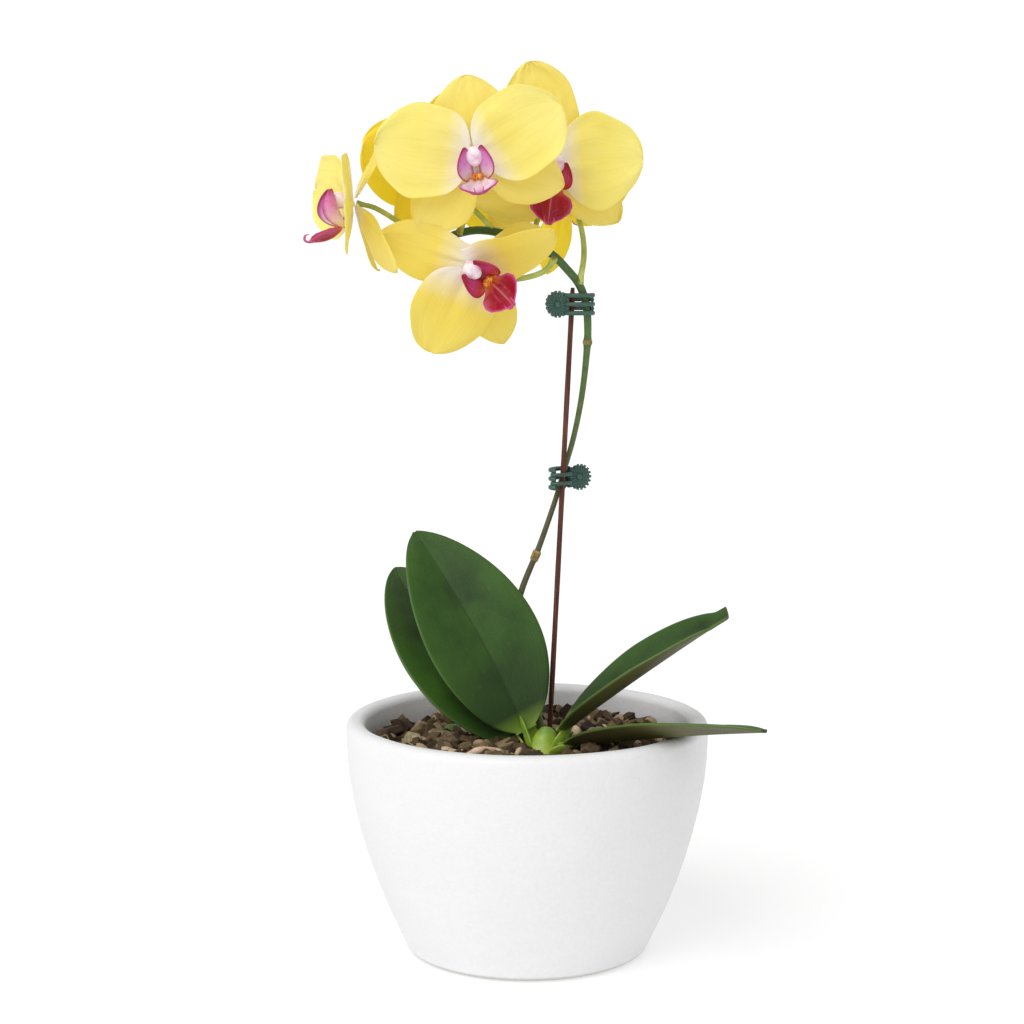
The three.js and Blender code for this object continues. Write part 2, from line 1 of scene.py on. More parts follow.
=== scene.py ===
# %% [markdown]
# # A potted moth orchid
# This lesson dresses a measured frame of a potted orchid: a white pot of bark, four leaves, an arching
# spike of six yellow flowers and the two claw clips that tie it to its stake. The frame holds the sizes;
# every piece below is built straight into the frame's place, so nothing has to be moved afterwards.

# %% Load the frame
import random
from math import atan2, cos, exp, hypot, pi, radians, sin, sqrt

import bmesh
import bpy
from mathutils import Matrix, Quaternion, Vector, noise


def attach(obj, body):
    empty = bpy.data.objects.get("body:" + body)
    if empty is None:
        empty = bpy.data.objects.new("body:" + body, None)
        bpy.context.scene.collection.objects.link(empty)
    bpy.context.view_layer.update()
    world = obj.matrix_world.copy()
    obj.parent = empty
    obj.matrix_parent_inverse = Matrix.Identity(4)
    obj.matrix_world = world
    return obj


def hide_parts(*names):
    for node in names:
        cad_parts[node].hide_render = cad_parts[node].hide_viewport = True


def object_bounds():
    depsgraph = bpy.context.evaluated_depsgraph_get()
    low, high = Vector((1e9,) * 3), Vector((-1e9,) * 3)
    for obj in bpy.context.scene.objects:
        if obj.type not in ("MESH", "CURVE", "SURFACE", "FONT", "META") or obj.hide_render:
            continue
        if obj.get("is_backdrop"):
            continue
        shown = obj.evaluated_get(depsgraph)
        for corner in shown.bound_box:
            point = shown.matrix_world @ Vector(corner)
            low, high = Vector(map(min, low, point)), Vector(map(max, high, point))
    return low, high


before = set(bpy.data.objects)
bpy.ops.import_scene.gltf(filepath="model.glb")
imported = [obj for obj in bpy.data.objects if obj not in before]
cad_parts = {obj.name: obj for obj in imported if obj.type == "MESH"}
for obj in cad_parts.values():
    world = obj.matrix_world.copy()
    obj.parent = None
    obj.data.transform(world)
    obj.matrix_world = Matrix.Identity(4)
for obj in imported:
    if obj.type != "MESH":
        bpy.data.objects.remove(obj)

frame_low, frame_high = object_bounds()
print("frame:", len(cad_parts), "nodes, height", round(frame_high.z - frame_low.z, 3), "m")

# %% [markdown]
# ## Units and the camera
# Plants are small, so every shape below is drawn in millimetres and scaled to metres once, when it is
# finished. The camera comes first: it stands a little over a metre away, slightly above the flowers,
# and looks a few degrees down, which is how one looks at a pot on a table.

# %% Units and camera
MM = 0.001

camera_data = bpy.data.cameras.new("camera")
camera_data.sensor_width = 36
camera_data.lens = 75.5
camera = bpy.data.objects.new("camera", camera_data)
camera.location = (-8.44 * MM, -1167 * MM, 381 * MM)
camera.rotation_euler = (radians(90 - 6.74), 0, 0)
bpy.context.scene.collection.objects.link(camera)
bpy.context.scene.camera = camera
print("camera lens", camera_data.lens, "mm")

# %% [markdown]
# ## Floor and light
# A white studio: one large pale floor, an even white surround, and one broad sun lamp from the upper
# left, which shades the pot's right side and lays a soft shadow beside it. A sun lamp is used because
# it lights the far floor as much as the near floor, so the floor melts into the background.

# %% Floor
floor_mesh = bpy.data.meshes.new("floor")
bm = bmesh.new()
bmesh.ops.create_grid(bm, x_segments=1, y_segments=1, size=60)
bm.to_mesh(floor_mesh)
bm.free()
floor = bpy.data.objects.new("floor", floor_mesh)
floor.location.z = -0.0004
bpy.context.scene.collection.objects.link(floor)
floor_paint = bpy.data.materials.new("floor_paint")
floor_paint.use_nodes = True
floor_shader = floor_paint.node_tree.nodes["Principled BSDF"]
for key, value in {
    "Base Color": (0.5, 0.5, 0.5, 1), "Emission Color": (1, 1, 1, 1), "Emission Strength": 0.56,
    "Roughness": 0.9, "Specular IOR Level": 0.1,
}.items():
    floor_shader.inputs[key].default_value = value
floor_mesh.materials.append(floor_paint)
floor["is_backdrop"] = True
print("floor ready")

# %% Light
SURROUND, SEEN = 0.6, 1.05
world = bpy.data.worlds.new("studio")
bpy.context.scene.world = world
world.use_nodes = True
tree = world.node_tree
surround, seen = tree.nodes["Background"], tree.nodes.new("ShaderNodeBackground")
for background, strength in ((surround, SURROUND), (seen, SEEN)):
    background.inputs["Color"].default_value = (1, 1, 1, 1)
    background.inputs["Strength"].default_value = strength
path = tree.nodes.new("ShaderNodeLightPath")
choose = tree.nodes.new("ShaderNodeMixShader")
tree.links.new(path.outputs["Is Camera Ray"], choose.inputs["Fac"])
tree.links.new(surround.outputs["Background"], choose.inputs[1])
tree.links.new(seen.outputs["Background"], choose.inputs[2])
tree.links.new(choose.outputs["Shader"], tree.nodes["World Output"].inputs["Surface"])


def lamp(name, direction, strength, spread):
    """A sun lamp that shines along a direction; spread in degrees makes its shadows soft."""
    data = bpy.data.lights.new(name, "SUN")
    data.energy = strength
    data.angle = radians(spread)
    made = bpy.data.objects.new(name, data)
    made.rotation_euler = Vector(direction).to_track_quat("-Z", "Y").to_euler()
    bpy.context.scene.collection.objects.link(made)


lamp("key", (0.60, 0.80, -1.0), 1.8, 50)
bpy.context.scene.view_settings.view_transform = "Standard"
bpy.context.scene.view_settings.look = "None"
print("studio light ready")

# %% [markdown]
# ## Helpers for shapes
# Four things are made again and again: a piece that is finished and hung on its body, a spun profile,
# a tube along a smooth path, and a thin sheet over a curved surface. A sheet starts as a flat grid,
# whose points are moved onto the surface; its map of u (along) and v (across) is kept for the finishes.


# %% Finishing a piece
def piece(bm, name, slot, *materials, body="plant", stands_for=(), modifiers=()):
    """Turns millimetres into metres and hangs the piece on its body."""
    bmesh.ops.scale(bm, vec=(MM, MM, MM), verts=bm.verts)
    for face in bm.faces:
        face.smooth = True
    data = bpy.data.meshes.new(name)
    bm.to_mesh(data)
    bm.free()
    for material in materials:
        data.materials.append(material)
    made = bpy.data.objects.new(name, data)
    bpy.context.scene.collection.objects.link(made)
    for kind, settings in modifiers:
        modifier = made.modifiers.new(kind.title(), kind)
        for key, value in settings.items():
            setattr(modifier, key, value)
    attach(made, body)
    if stands_for:
        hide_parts(*stands_for)
    print(name, len(data.polygons), "faces")
    return made


def smooth():
    """One level of subdivision, the same in the view and the render."""
    return ("SUBSURF", {"levels": 1, "render_levels": 1})


def thick(thickness, **settings):
    """The modifiers that give a sheet its thickness in millimetres and round it off."""
    return [("SOLIDIFY", dict(thickness=thickness * MM, offset=0, **settings)), smooth()]


def dress(node, finish):
    """Gives one of the frame's own meshes a finish."""
    node.data.materials.clear()
    node.data.materials.append(finish.material)


# %% A spun profile
def spun(outline, steps, merge):
    """A profile of (radius, height) points spun once round the upright axis."""
    bm = bmesh.new()
    points = [bm.verts.new((x, 0, z)) for x, z in outline]
    edges = [bm.edges.new(pair) for pair in zip(points, points[1:])]
    bmesh.ops.spin(
        bm, geom=points + edges, cent=(0, 0, 0), axis=(0, 0, 1), angle=2 * pi, steps=steps,
        use_merge=True)
    bmesh.ops.remove_doubles(bm, verts=bm.verts, dist=merge)
    bmesh.ops.recalc_face_normals(bm, faces=bm.faces)
    return bm


# %% A smooth path through points
def curve_points(points, steps):
    """Points on a centripetal Catmull-Rom curve, evenly spread along it."""
    knots = [Vector(p) for p in points]
    knots = [2 * knots[0] - knots[1], *knots, 2 * knots[-1] - knots[-2]]
    dense = []
    for a, b, c, d in zip(knots, knots[1:], knots[2:], knots[3:]):
        times = [0.0]
        for p, q in ((a, b), (b, c), (c, d)):
            times.append(times[-1] + max((q - p).length, 1e-6) ** 0.5)
        t0, t1, t2, t3 = times
        for i in range(24):
            t = t1 + (t2 - t1) * i / 24
            ab = a.lerp(b, (t - t0) / (t1 - t0))
            bc = b.lerp(c, (t - t1) / (t2 - t1))
            cd = c.lerp(d, (t - t2) / (t3 - t2))
            left = ab.lerp(bc, (t - t0) / (t2 - t0))
            right = bc.lerp(cd, (t - t1) / (t3 - t1))
            dense.append(left.lerp(right, (t - t1) / (t2 - t1)))
    dense.append(knots[-2].copy())
    lengths = [0.0]
    for p, q in zip(dense, dense[1:]):
        lengths.append(lengths[-1] + (q - p).length)
    result, j = [], 0
    for i in range(steps + 1):
        wanted = lengths[-1] * i / steps
        while j < len(dense) - 2 and lengths[j + 1] < wanted:
            j += 1
        share = (wanted - lengths[j]) / max(lengths[j + 1] - lengths[j], 1e-9)
        result.append(dense[j].lerp(dense[j + 1], min(share, 1)))
    return result


# %% A tube along a path
def tube(bm, path, radius, sides=16, material=0):
    """Bridges rings along a path; radius is a function of the share of its length."""
    heading = Vector((0, 0, 1))
    turn = Quaternion()
    rings = []
    before = set(bm.faces)
    for i, point in enumerate(path):
        ahead = (path[min(i + 1, len(path) - 1)] - path[max(i - 1, 0)]).normalized()
        turn = heading.rotation_difference(ahead) @ turn
        heading = ahead
        place = Matrix.Translation(point) @ turn.to_matrix().to_4x4()
        share = i / (len(path) - 1)
        ring = bmesh.ops.create_circle(bm, segments=sides, radius=radius(share), matrix=place)
        rings.append(list({e for v in ring["verts"] for e in v.link_edges}))
    for first, second in zip(rings, rings[1:]):
        bmesh.ops.bridge_loops(bm, edges=first + second)
    for ring in (rings[0], rings[-1]):
        bmesh.ops.holes_fill(bm, edges=ring, sides=sides)
    made = [f for f in bm.faces if f not in before]
    bmesh.ops.recalc_face_normals(bm, faces=made)
    for face in made:
        face.material_index = material


# %% A sheet over a surface
def sheet(bm, surface, along, across, material=0):
    """A grid moved onto surface(u, v), with u from 0 to 1 along it and v from -1 to 1 across."""
    uv = bm.loops.layers.uv.verify()
    made = bmesh.ops.create_grid(bm, x_segments=along, y_segments=across, size=1)
    at = {}
    for vert in made["verts"]:
        u = (1 - cos(pi * (vert.co.x + 1) / 2)) / 2
        at[vert] = (u, vert.co.y)
        vert.co = surface(*at[vert])
    for face in {f for v in made["verts"] for f in v.link_faces}:
        face.material_index = material
        for loop in face.loops:
            u, v = at[loop.vert]
            loop[uv].uv = (u, (v + 1) / 2)


def blade(start, out, side, front, shape):
    """A leaf or petal: its midline leans by sweep and curl, its outline is widest where skew puts it."""
    length, width, skew, fullness = (shape[k] for k in ("length", "width", "skew", "fullness"))
    sweep, cup, fold = (shape.get(k, 0) for k in ("sweep", "cup", "fold"))
    twist, bow, stalk = shape.get("twist", 0), shape.get("bow", 0), shape.get("stalk", 0.1)
    bend, blunt = shape.get("curl", 0) or 1e-6, shape.get("blunt", 0.02)

    def surface(u, v):
        lean = sweep + bend * u
        reach = length * (sin(lean) - sin(sweep)) / bend
        rise = length * (cos(sweep) - cos(lean)) / bend
        outline = max(sin(pi * u**skew), 0) ** fullness
        half = width / 2 * max(outline, stalk if u < 0.5 else blunt)
        turn = twist * min(1, 2 * u)
        spread = sin(cup * v) / cup if cup else v
        lift = (1 - cos(cup * v)) / cup if cup else 0
        lift += fold * (sqrt(v * v + 0.03) - sqrt(0.03))
        off = front * cos(lean) - out * sin(lean)
        edge = side * cos(turn) + off * sin(turn)
        face = off * cos(turn) - side * sin(turn)
        middle = start + out * reach + front * rise + side * (length * bow * 4 * u * (1 - u))
        return middle + edge * (half * spread) + face * (half * lift)

    return surface


print("shape helpers ready")

# %% [markdown]
# ## Helpers for finishes
# A finish is a small graph of nodes that ends in one Principled shader. Patterns read either the
# piece's own place in the frame (Object) or its map of along and across (UV), so they never slide.
# Plain numbers are set on the shader itself; only what changes over the surface is wired to it.


# %% Finishes
def colour(code):
    """A colour written as six hexadecimal digits, as linear light."""
    channels = [int(code[i:i + 2], 16) / 255 for i in (0, 2, 4)]
    return [c / 12.92 if c <= 0.04045 else ((c + 0.055) / 1.055) ** 2.4 for c in channels] + [1]


class Finish:
    """Makes a material and adds nodes to it with one call each."""

    def __init__(self, name, roughness=0.5, specular=0.5):
        self.material = bpy.data.materials.new(name)
        self.material.use_nodes = True
        self.tree = self.material.node_tree
        self.shader = self.tree.nodes["Principled BSDF"]
        self.shader.inputs["Roughness"].default_value = roughness
        self.shader.inputs["Specular IOR Level"].default_value = specular
        self.place = self.add("TexCoord")

    def feed(self, socket, value):
        """Wires a socket, or sets it to a colour or a number."""
        if isinstance(value, bpy.types.NodeSocket):
            self.tree.links.new(value, socket)
        else:
            socket.default_value = colour(value) if isinstance(value, str) else value

    def add(self, kind, output=None, **inputs):
        node = self.tree.nodes.new("ShaderNode" + kind)
        for key, value in inputs.items():
            key = key.replace("_", " ")
            if key not in node.inputs:
                setattr(node, key.replace(" ", "_"), value)
            else:
                self.feed(node.inputs[key], value)
        return node.outputs[output] if output else node

    def noise(self, scale, detail=3, rough=0.55, stretch=(1, 1, 1), source="Object"):
        mapped = self.add("Mapping", "Vector", Vector=self.place.outputs[source], Scale=stretch)
        return self.add("TexNoise", "Fac", Vector=mapped, Scale=scale, Detail=detail, Roughness=rough)

    def ramp(self, value, *stops):
        node = self.add("ValToRGB", Fac=value)
        elements = node.color_ramp.elements
        while len(elements) < len(stops):
            elements.new(0.5)
        for element, (position, code) in zip(elements, stops):
            element.position = position
            element.color = colour(code) if isinstance(code, str) else (code, code, code, 1)
        return node.outputs["Color"]

    def blend(self, factor, first, second):
        node = self.add("Mix", data_type="RGBA")
        for socket, value in ((node.inputs[0], factor), (node.inputs[6], first), (node.inputs[7], second)):
            self.feed(socket, value)
        return node.outputs[2]

    def maths(self, operation, first, second=0.0):
        node = self.add("Math", operation=operation)
        for socket, value in zip(node.inputs, (first, second)):
            self.feed(socket, value)
        return node.outputs[0]

    def height(self, low, high):
        """0 at the lower height, 1 at the upper one, in metres."""
        split = self.add("SeparateXYZ", Vector=self.place.outputs["Object"])
        return self.add("MapRange", "Result", Value=split.outputs["Z"], From_Min=low, From_Max=high)

    def uv(self):
        """The shares along and across a sheet."""
        split = self.add("SeparateXYZ", Vector=self.place.outputs["UV"])
        return split.outputs["X"], split.outputs["Y"]

    def from_middle(self, across):
        """0 on the midline, 0.5 at either margin."""
        return self.maths("ABSOLUTE", self.maths("SUBTRACT", across, 0.5))

    def paint(self, socket):
        self.tree.links.new(socket, self.shader.inputs["Base Color"])

    def rough(self, socket):
        self.tree.links.new(socket, self.shader.inputs["Roughness"])

    def bump(self, *layers):
        """Each layer is a height socket with its depth in metres."""
        normal = None
        for height, depth in layers:
            node = self.add("Bump", Height=height, Distance=depth, Strength=1.0)
            if normal:
                self.tree.links.new(normal, node.inputs["Normal"])
            normal = node.outputs["Normal"]
        self.tree.links.new(normal, self.shader.inputs["Normal"])

    def glow_through(self, share, socket):
        """Lets a share of the light shine through, as a thin petal or leaf does."""
        through = self.add("BsdfTranslucent", Color=socket)
        mixed = self.add("MixShader")
        self.tree.links.new(self.shader.outputs["BSDF"], mixed.inputs[1])
        self.tree.links.new(through.outputs["BSDF"], mixed.inputs[2])
        mixed.inputs[0].default_value = share
        self.tree.links.new(mixed.outputs["Shader"], self.tree.nodes["Material Output"].inputs["Surface"])


def speckled(name, roughness, specular, patch, stops, *grains):
    """A finish of one noise through one ramp, with finer noises as bumps."""
    made = Finish(name, roughness, specular)
    made.paint(made.ramp(made.noise(*patch), *stops))
    if grains:
        made.bump(*((made.noise(*grain), depth) for grain, depth in grains))
    return made


print("finish helpers ready")

# %% [markdown]
# ## The pot
# A thick bowl of white ceramic with a soft rounded rim, whose wall swells quickly above a narrow foot.
# It was thrown or cast as a round form, so it is modelled as one profile spun round the upright axis.
# The faint unevenness of a hand-finished white coat is a bump in the glaze, and a very slow wave in
# its surface, since a perfectly even pot would look like plastic.

# %% Pot profile
POT_HEIGHT, RIM_RADIUS, SHOULDER_RADIUS, FOOT_RADIUS = 129, 100, 68, 64
FOOT_ROUND, RIM_ROUND, WALL, POT_FLOOR, BULGE = 4, 4.5, 10.5, 9, 1.9


def pot_radius(z):
    share = (z - FOOT_ROUND) / (POT_HEIGHT - RIM_ROUND - FOOT_ROUND)
    return SHOULDER_RADIUS + (RIM_RADIUS - SHOULDER_RADIUS) * (1 - max(0, 1 - share) ** BULGE)


def arc(x, z, radius, first, last, steps):
    angles = [radians(first + (last - first) * i / steps) for i in range(steps + 1)]
    return [(x + radius * cos(a), z + radius * sin(a)) for a in angles]


lip_z = POT_HEIGHT - RIM_ROUND
profile = [(0, 0.8), (FOOT_RADIUS - 7, 0.8), (FOOT_RADIUS - 6, 0)]
profile += arc(SHOULDER_RADIUS - 5, 5, 5, -90, -20, 6)
profile += [(pot_radius(z), z) for z in (6, 12, 20, 30, 42, 55, 68, 82, 96, 108, 118)]
profile += arc(pot_radius(lip_z) - RIM_ROUND, lip_z, RIM_ROUND, 0, 90, 7)
profile += arc(pot_radius(lip_z) - WALL + RIM_ROUND, lip_z, RIM_ROUND, 90, 180, 7)
profile += [(pot_radius(z) - WALL, z) for z in (118, 110, 95, 75, 50, 25, 14)]
profile += [(SHOULDER_RADIUS - WALL - 6, POT_FLOOR), (0, POT_FLOOR)]
print("pot profile", len(profile), "points")

# %% Pot finish
glaze = Finish("white_glaze", roughness=0.42, specular=0.35)
tone = glaze.ramp(glaze.noise(9, 3), (0.3, "E5E5E6"), (0.7, "E9E9EA"))
# Painted contact shadow: a grey-brown band over the lowest 3 mm of the pot, darkest at the very foot.
foot = glaze.height(0.0005, 0.003)
tone = glaze.blend(foot, "A8A49C", tone)
grain = glaze.noise(420, 4, 0.6)
glaze.paint(glaze.blend(glaze.ramp(grain, (0.35, 0.0), (0.75, 0.35)), tone, "DEDEE0"))
glaze.rough(glaze.ramp(glaze.noise(60, 3), (0.3, 0.38), (0.7, 0.52)))
glaze.bump((glaze.noise(70, 4, 0.6), 0.0007), (grain, 0.00025))

# %% Pot shape
WAVE_SCALE, WAVE_DEPTH = 0.028, 0.5
bm = spun(profile, 160, 0.001)
for vert in bm.verts:
    away = hypot(vert.co.x, vert.co.y)
    if 6 < vert.co.z and away > 1:
        swell = noise.noise(vert.co * WAVE_SCALE) * WAVE_DEPTH
        vert.co.x *= 1 + swell / away
        vert.co.y *= 1 + swell / away
piece(bm, "glazed_pot", "pot", glaze.material, stands_for=["pot"])

# %% [markdown]
# ## The bark bed
# Orchids grow in loose chunks of bark with a few rounded pebbles, never in soil. The frame's own bed
# fills the pot; it is painted near-black, as painted shade in the gaps between the chunks. On top of it
# lie several hundred chunks: each is a small block whose corners are pushed about and bevelled, because
# broken bark has flat faces and worn edges. They all go into a few meshes, and each chunk keeps its own shade
# of brown.

# %% Bark finish
bark = Finish("bark", roughness=0.85, specular=0.25)
fleck = bark.noise(260, 5, 0.65)
own_shade = bark.add("Attribute", "Fac", attribute_name="shade")
browns = bark.ramp(
    own_shade, (0.0, "241C14"), (0.3, "4A3A26"), (0.6, "6E5C3E"), (0.85, "8E7C5C"), (1.0, "B4A27E"))
bark.paint(bark.blend(bark.ramp(fleck, (0.35, 0.0), (0.7, 0.55)), browns, "3A3024"))
bark.bump((fleck, 0.0012), (bark.noise(900, 3), 0.0003))

# The bed's near-black browns are painted shade for the deep gaps between the chunks.
bed = speckled(
    "bark_bed_painted_shade", 0.95, 0.1, (120, 5), [(0.3, "0E0A07"), (0.7, "302620")], ((160, 5), 0.002))
dress(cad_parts["bark_bed"], bed)

stone = Finish("pebble", roughness=0.55, specular=0.4)
own_shade = stone.add("Attribute", "Fac", attribute_name="shade")
tans = stone.ramp(
    own_shade, (0.0, "6E5B48"), (0.4, "A48B6C"), (0.8, "CDB795"), (0.93, "E2D5BD"), (1.0, "5E7A34"))
stone.paint(stone.blend(stone.ramp(stone.noise(300, 4), (0.4, 0.0), (0.75, 0.4)), tans, "806A52"))
stone.bump((stone.noise(350, 3), 0.0003))
print("bark and pebble finishes ready")

# %% Scattering chunks
BED_TOP = POT_HEIGHT - 18
BED_REACH = 86
CROWN_AT, CROWN_RADIUS, CROWN_CLEAR = (10, -12), 8.5, 9
STAKE_FOOT, STAKE_CLEAR = (12.3, 15), 2
OPEN_STRIP = 6
chance = random.Random(7)


def chunk_place(size, low, high, reach):
    """A random place and turn on the bed, clear of the crown, the strip before it and the stake."""
    while True:
        away, turn = reach * sqrt(chance.random()), chance.uniform(0, 2 * pi)
        x, y = away * cos(turn), away * sin(turn)
        from_crown = hypot(x - CROWN_AT[0], y - CROWN_AT[1])
        from_stake = hypot(x - STAKE_FOOT[0], y - STAKE_FOOT[1])
        in_front = low > BED_TOP and abs(x - CROWN_AT[0]) < OPEN_STRIP + size and y < CROWN_AT[1]
        if not in_front and from_crown > CROWN_CLEAR + size and from_stake > STAKE_CLEAR + size:
            break
    spin = Quaternion([chance.gauss(0, 1) for _ in range(4)]).normalized()
    flat = Quaternion().slerp(spin, 0.45) @ Quaternion((0, 0, 1), chance.uniform(0, 6.3))
    return Matrix.Translation((x, y, chance.uniform(low, high))) @ flat.to_matrix().to_4x4()


def scatter(bm, count, sizes, low, high, shades, rounded):
    """Adds count chunks with random sizes, each with its own shade."""
    shade = bm.faces.layers.float.get("shade") or bm.faces.layers.float.new("shade")
    for _ in range(count):
        long, wide, thick = (chance.uniform(*limits) for limits in sizes)
        place = chunk_place(long / 2, low, high, BED_REACH - long / 2)
        before = set(bm.faces)
        if rounded:
            verts = bmesh.ops.create_icosphere(bm, subdivisions=2, radius=0.5)["verts"]
        else:
            verts = bmesh.ops.create_cube(bm, size=1)["verts"]
            for vert in verts:
                vert.co += Vector([chance.uniform(-0.17, 0.17) for _ in range(3)])
            edges = list({e for v in verts for e in v.link_edges})
            bmesh.ops.bevel(
                bm, geom=edges, offset=0.09, affect="EDGES", segments=1, profile=0.5, material=-1)
            verts = list({v for f in bm.faces if f not in before for v in f.verts})
        matrix = place @ Matrix.Diagonal((long, wide, thick, 1))
        bmesh.ops.transform(bm, matrix=matrix, verts=verts)
        own = chance.uniform(*shades)
        for face in bm.faces:
            if face not in before:
                face[shade] = own


# %% Bark chunks
for layer, (count, sizes, low, high) in enumerate((
    (170, ((11, 20), (7, 13), (4, 8)), BED_TOP - 1, BED_TOP + 3),
    (200, ((8, 16), (5, 10), (3, 6)), BED_TOP + 2, BED_TOP + 6),
    (150, ((5, 11), (3, 7), (2, 4)), BED_TOP + 3, BED_TOP + 7),
)):
    bm = bmesh.new()
    scatter(bm, count, sizes, low, high, (0.0, 1.0), rounded=False)
    chunks = piece(bm, f"bark_chunks_{layer + 1}", "bark", bark.material)
    for polygon in chunks.data.polygons:
        polygon.use_smooth = False

# %% Pebbles
bm = bmesh.new()
scatter(bm, 110, ((6, 12), (5, 9), (4, 7)), BED_TOP + 3, BED_TOP + 7, (0.0, 0.93), rounded=True)
piece(bm, "pebbles", "bark", stone.material)
bm = bmesh.new()
green = bmesh.ops.create_icosphere(bm, subdivisions=3, radius=4.6)["verts"]
bmesh.ops.scale(bm, vec=(1.15, 0.9, 0.75), verts=green)
bmesh.ops.translate(bm, vec=(-42, 16, BED_TOP + 7), verts=green)
shade = bm.faces.layers.float.new("shade")
for face in bm.faces:
    face[shade] = 1.0
piece(bm, "green_pebble", "bark", stone.material)

# %% [markdown]
# ## Aerial root and stake
# One root arches out of the bark, dry and pinkish. The stake is a thin, slightly crooked stick. Both
# are tubes bridged along a path, which is the quickest way to a shape of one thickness that bends.

# %% Root
skin = speckled(
    "dry_root", 0.7, 0.3, (220, 4), [(0.3, "B58D74"), (0.55, "DDBFA6"), (0.8, "EBD6C2")], ((500, 4), 0.0003))
ROOT = [(-6, -26, 108), (-14, -34, 116), (-24, -40, 119.5), (-33, -45, 117), (-39, -49, 109)]
bm = bmesh.new()
tube(bm, curve_points(ROOT, 30), lambda s: 2.3 * (1 - 0.3 * s) + 0.15 * sin(23 * s), 16)
piece(bm, "arching_root", "root", skin.material, stands_for=["aerial_root"])

# %% Stake
wood = Finish("stake_wood", roughness=0.65, specular=0.3)
streak = wood.noise(900, 4, 0.6, stretch=(1, 1, 0.06))
wood.paint(wood.ramp(streak, (0.3, "3B1E15"), (0.55, "5E3526"), (0.8, "8A5A42")))
wood.bump((streak, 0.0003))
STAKE_LEAN, STAKE_TOP, STAKE_BURIED, STAKE_RADIUS = 0.0492, 365, 70, 1.5


def stake_at(z):
    return Vector((STAKE_FOOT[0] + STAKE_LEAN * (z - BED_TOP), STAKE_FOOT[1], z))


bm = bmesh.new()
heights = [BED_TOP - STAKE_BURIED + (STAKE_TOP - BED_TOP + STAKE_BURIED) * i / 60 for i in range(61)]
course = [stake_at(z) for z in heights]
tube(bm, course, lambda s: STAKE_RADIUS + 0.05 * sin(40 * s) - 0.5 * (s > 0.995), 14)
piece(bm, "stick", "stake", wood.material, stands_for=["stake"])

# %% [markdown]
# ## Crown and leaves
# The crown is the short stem between the leaves, pale yellow-green. Every leaf rises from a sheath on
# its side, and the split sheath of an old leaf hugs its front. A leaf is thick like leather: a folded
# sheet with a channel down its middle, and one leaf's near margin rolls up. It has two finishes, one
# for the dark, waxy upper face and one for the duller, olive underside, which Solidify gives the back.

# %% Crown
stem_skin = Finish("crown_skin", roughness=0.42, specular=0.45)
mottle = stem_skin.noise(150, 4)
crown_tone = stem_skin.ramp(
    stem_skin.height(0.108, 0.129), (0.0, "7F8A2A"), (0.35, "94AD38"), (0.8, "678E24"), (1.0, "3F6A16"))
stem_skin.paint(stem_skin.blend(stem_skin.ramp(mottle, (0.4, 0.0), (0.7, 0.5)), crown_tone, "B4C84C"))
stem_skin.bump((mottle, 0.0006))

CROWN_PROFILE = [
    (0.01, -13), (6, -12), (8.2, -2), (8.6, 2), (8.3, 6.5), (8.9, 7.2), (8.6, 9.5), (7.6, 13), (5.2, 16),
    (0.01, 17),
]
CROWN_SQUASH = 0.42
bm = spun(CROWN_PROFILE, 40, 0.05)
for vert in bm.verts:
    around = atan2(vert.co.y, vert.co.x)
    vert.co.x *= 1 + 0.05 * sin(3 * around + 0.12 * vert.co.z)
    if vert.co.z > 0:
        vert.co.z = CROWN_SQUASH * vert.co.z + 1.2 * sin(2 * around + 0.8)
bmesh.ops.translate(bm, vec=(*CROWN_AT, BED_TOP), verts=bm.verts)
piece(bm, "short_stem", "crown", stem_skin.material, stands_for=["crown"], modifiers=[smooth()])


# %% Leaf finishes
def leaf_finish(name, dark, light, edge, rib, shine):
    made = Finish(name, roughness=shine, specular=0.35)
    along, across = made.uv()
    patch = made.noise(28, 4)
    body = made.ramp(patch, (0.3, dark), (0.72, light))
    spots = made.ramp(made.noise(520, 2, 0.4), (0.70, 0.0), (0.76, 0.35))
    body = made.blend(spots, body, edge)
    from_middle = made.from_middle(across)
    body = made.blend(made.ramp(from_middle, (0.0, 0.6), (0.014, 0.0)), body, rib)
    body = made.blend(made.ramp(from_middle, (0.2, 0.0), (0.46, 0.6)), body, light)
    body = made.blend(made.ramp(along, (0.1, 0.7), (0.4, 0.0)), body, dark)
    body = made.blend(made.ramp(from_middle, (0.486, 0.0), (0.499, 0.5)), body, edge)
    body = made.blend(made.ramp(along, (0.0, 0.9), (0.03, 0.5), (0.09, 0.0)), body, "86A63A")
    made.paint(body)
    veins = made.noise(60, 3, stretch=(0.15, 1, 1), source="UV")
    made.bump((veins, 0.0003), (made.noise(700, 3), 0.00008))
    made.rough(made.ramp(patch, (0.3, shine - 0.05), (0.7, shine + 0.1)))
    return made


leaf_top = leaf_finish("leaf_upper_face", "183004", "365C14", "5C7A3A", "142B06", 0.40)
leaf_under = leaf_finish("leaf_underside", "454A22", "5F5C34", "6E6A40", "33381A", 0.5)

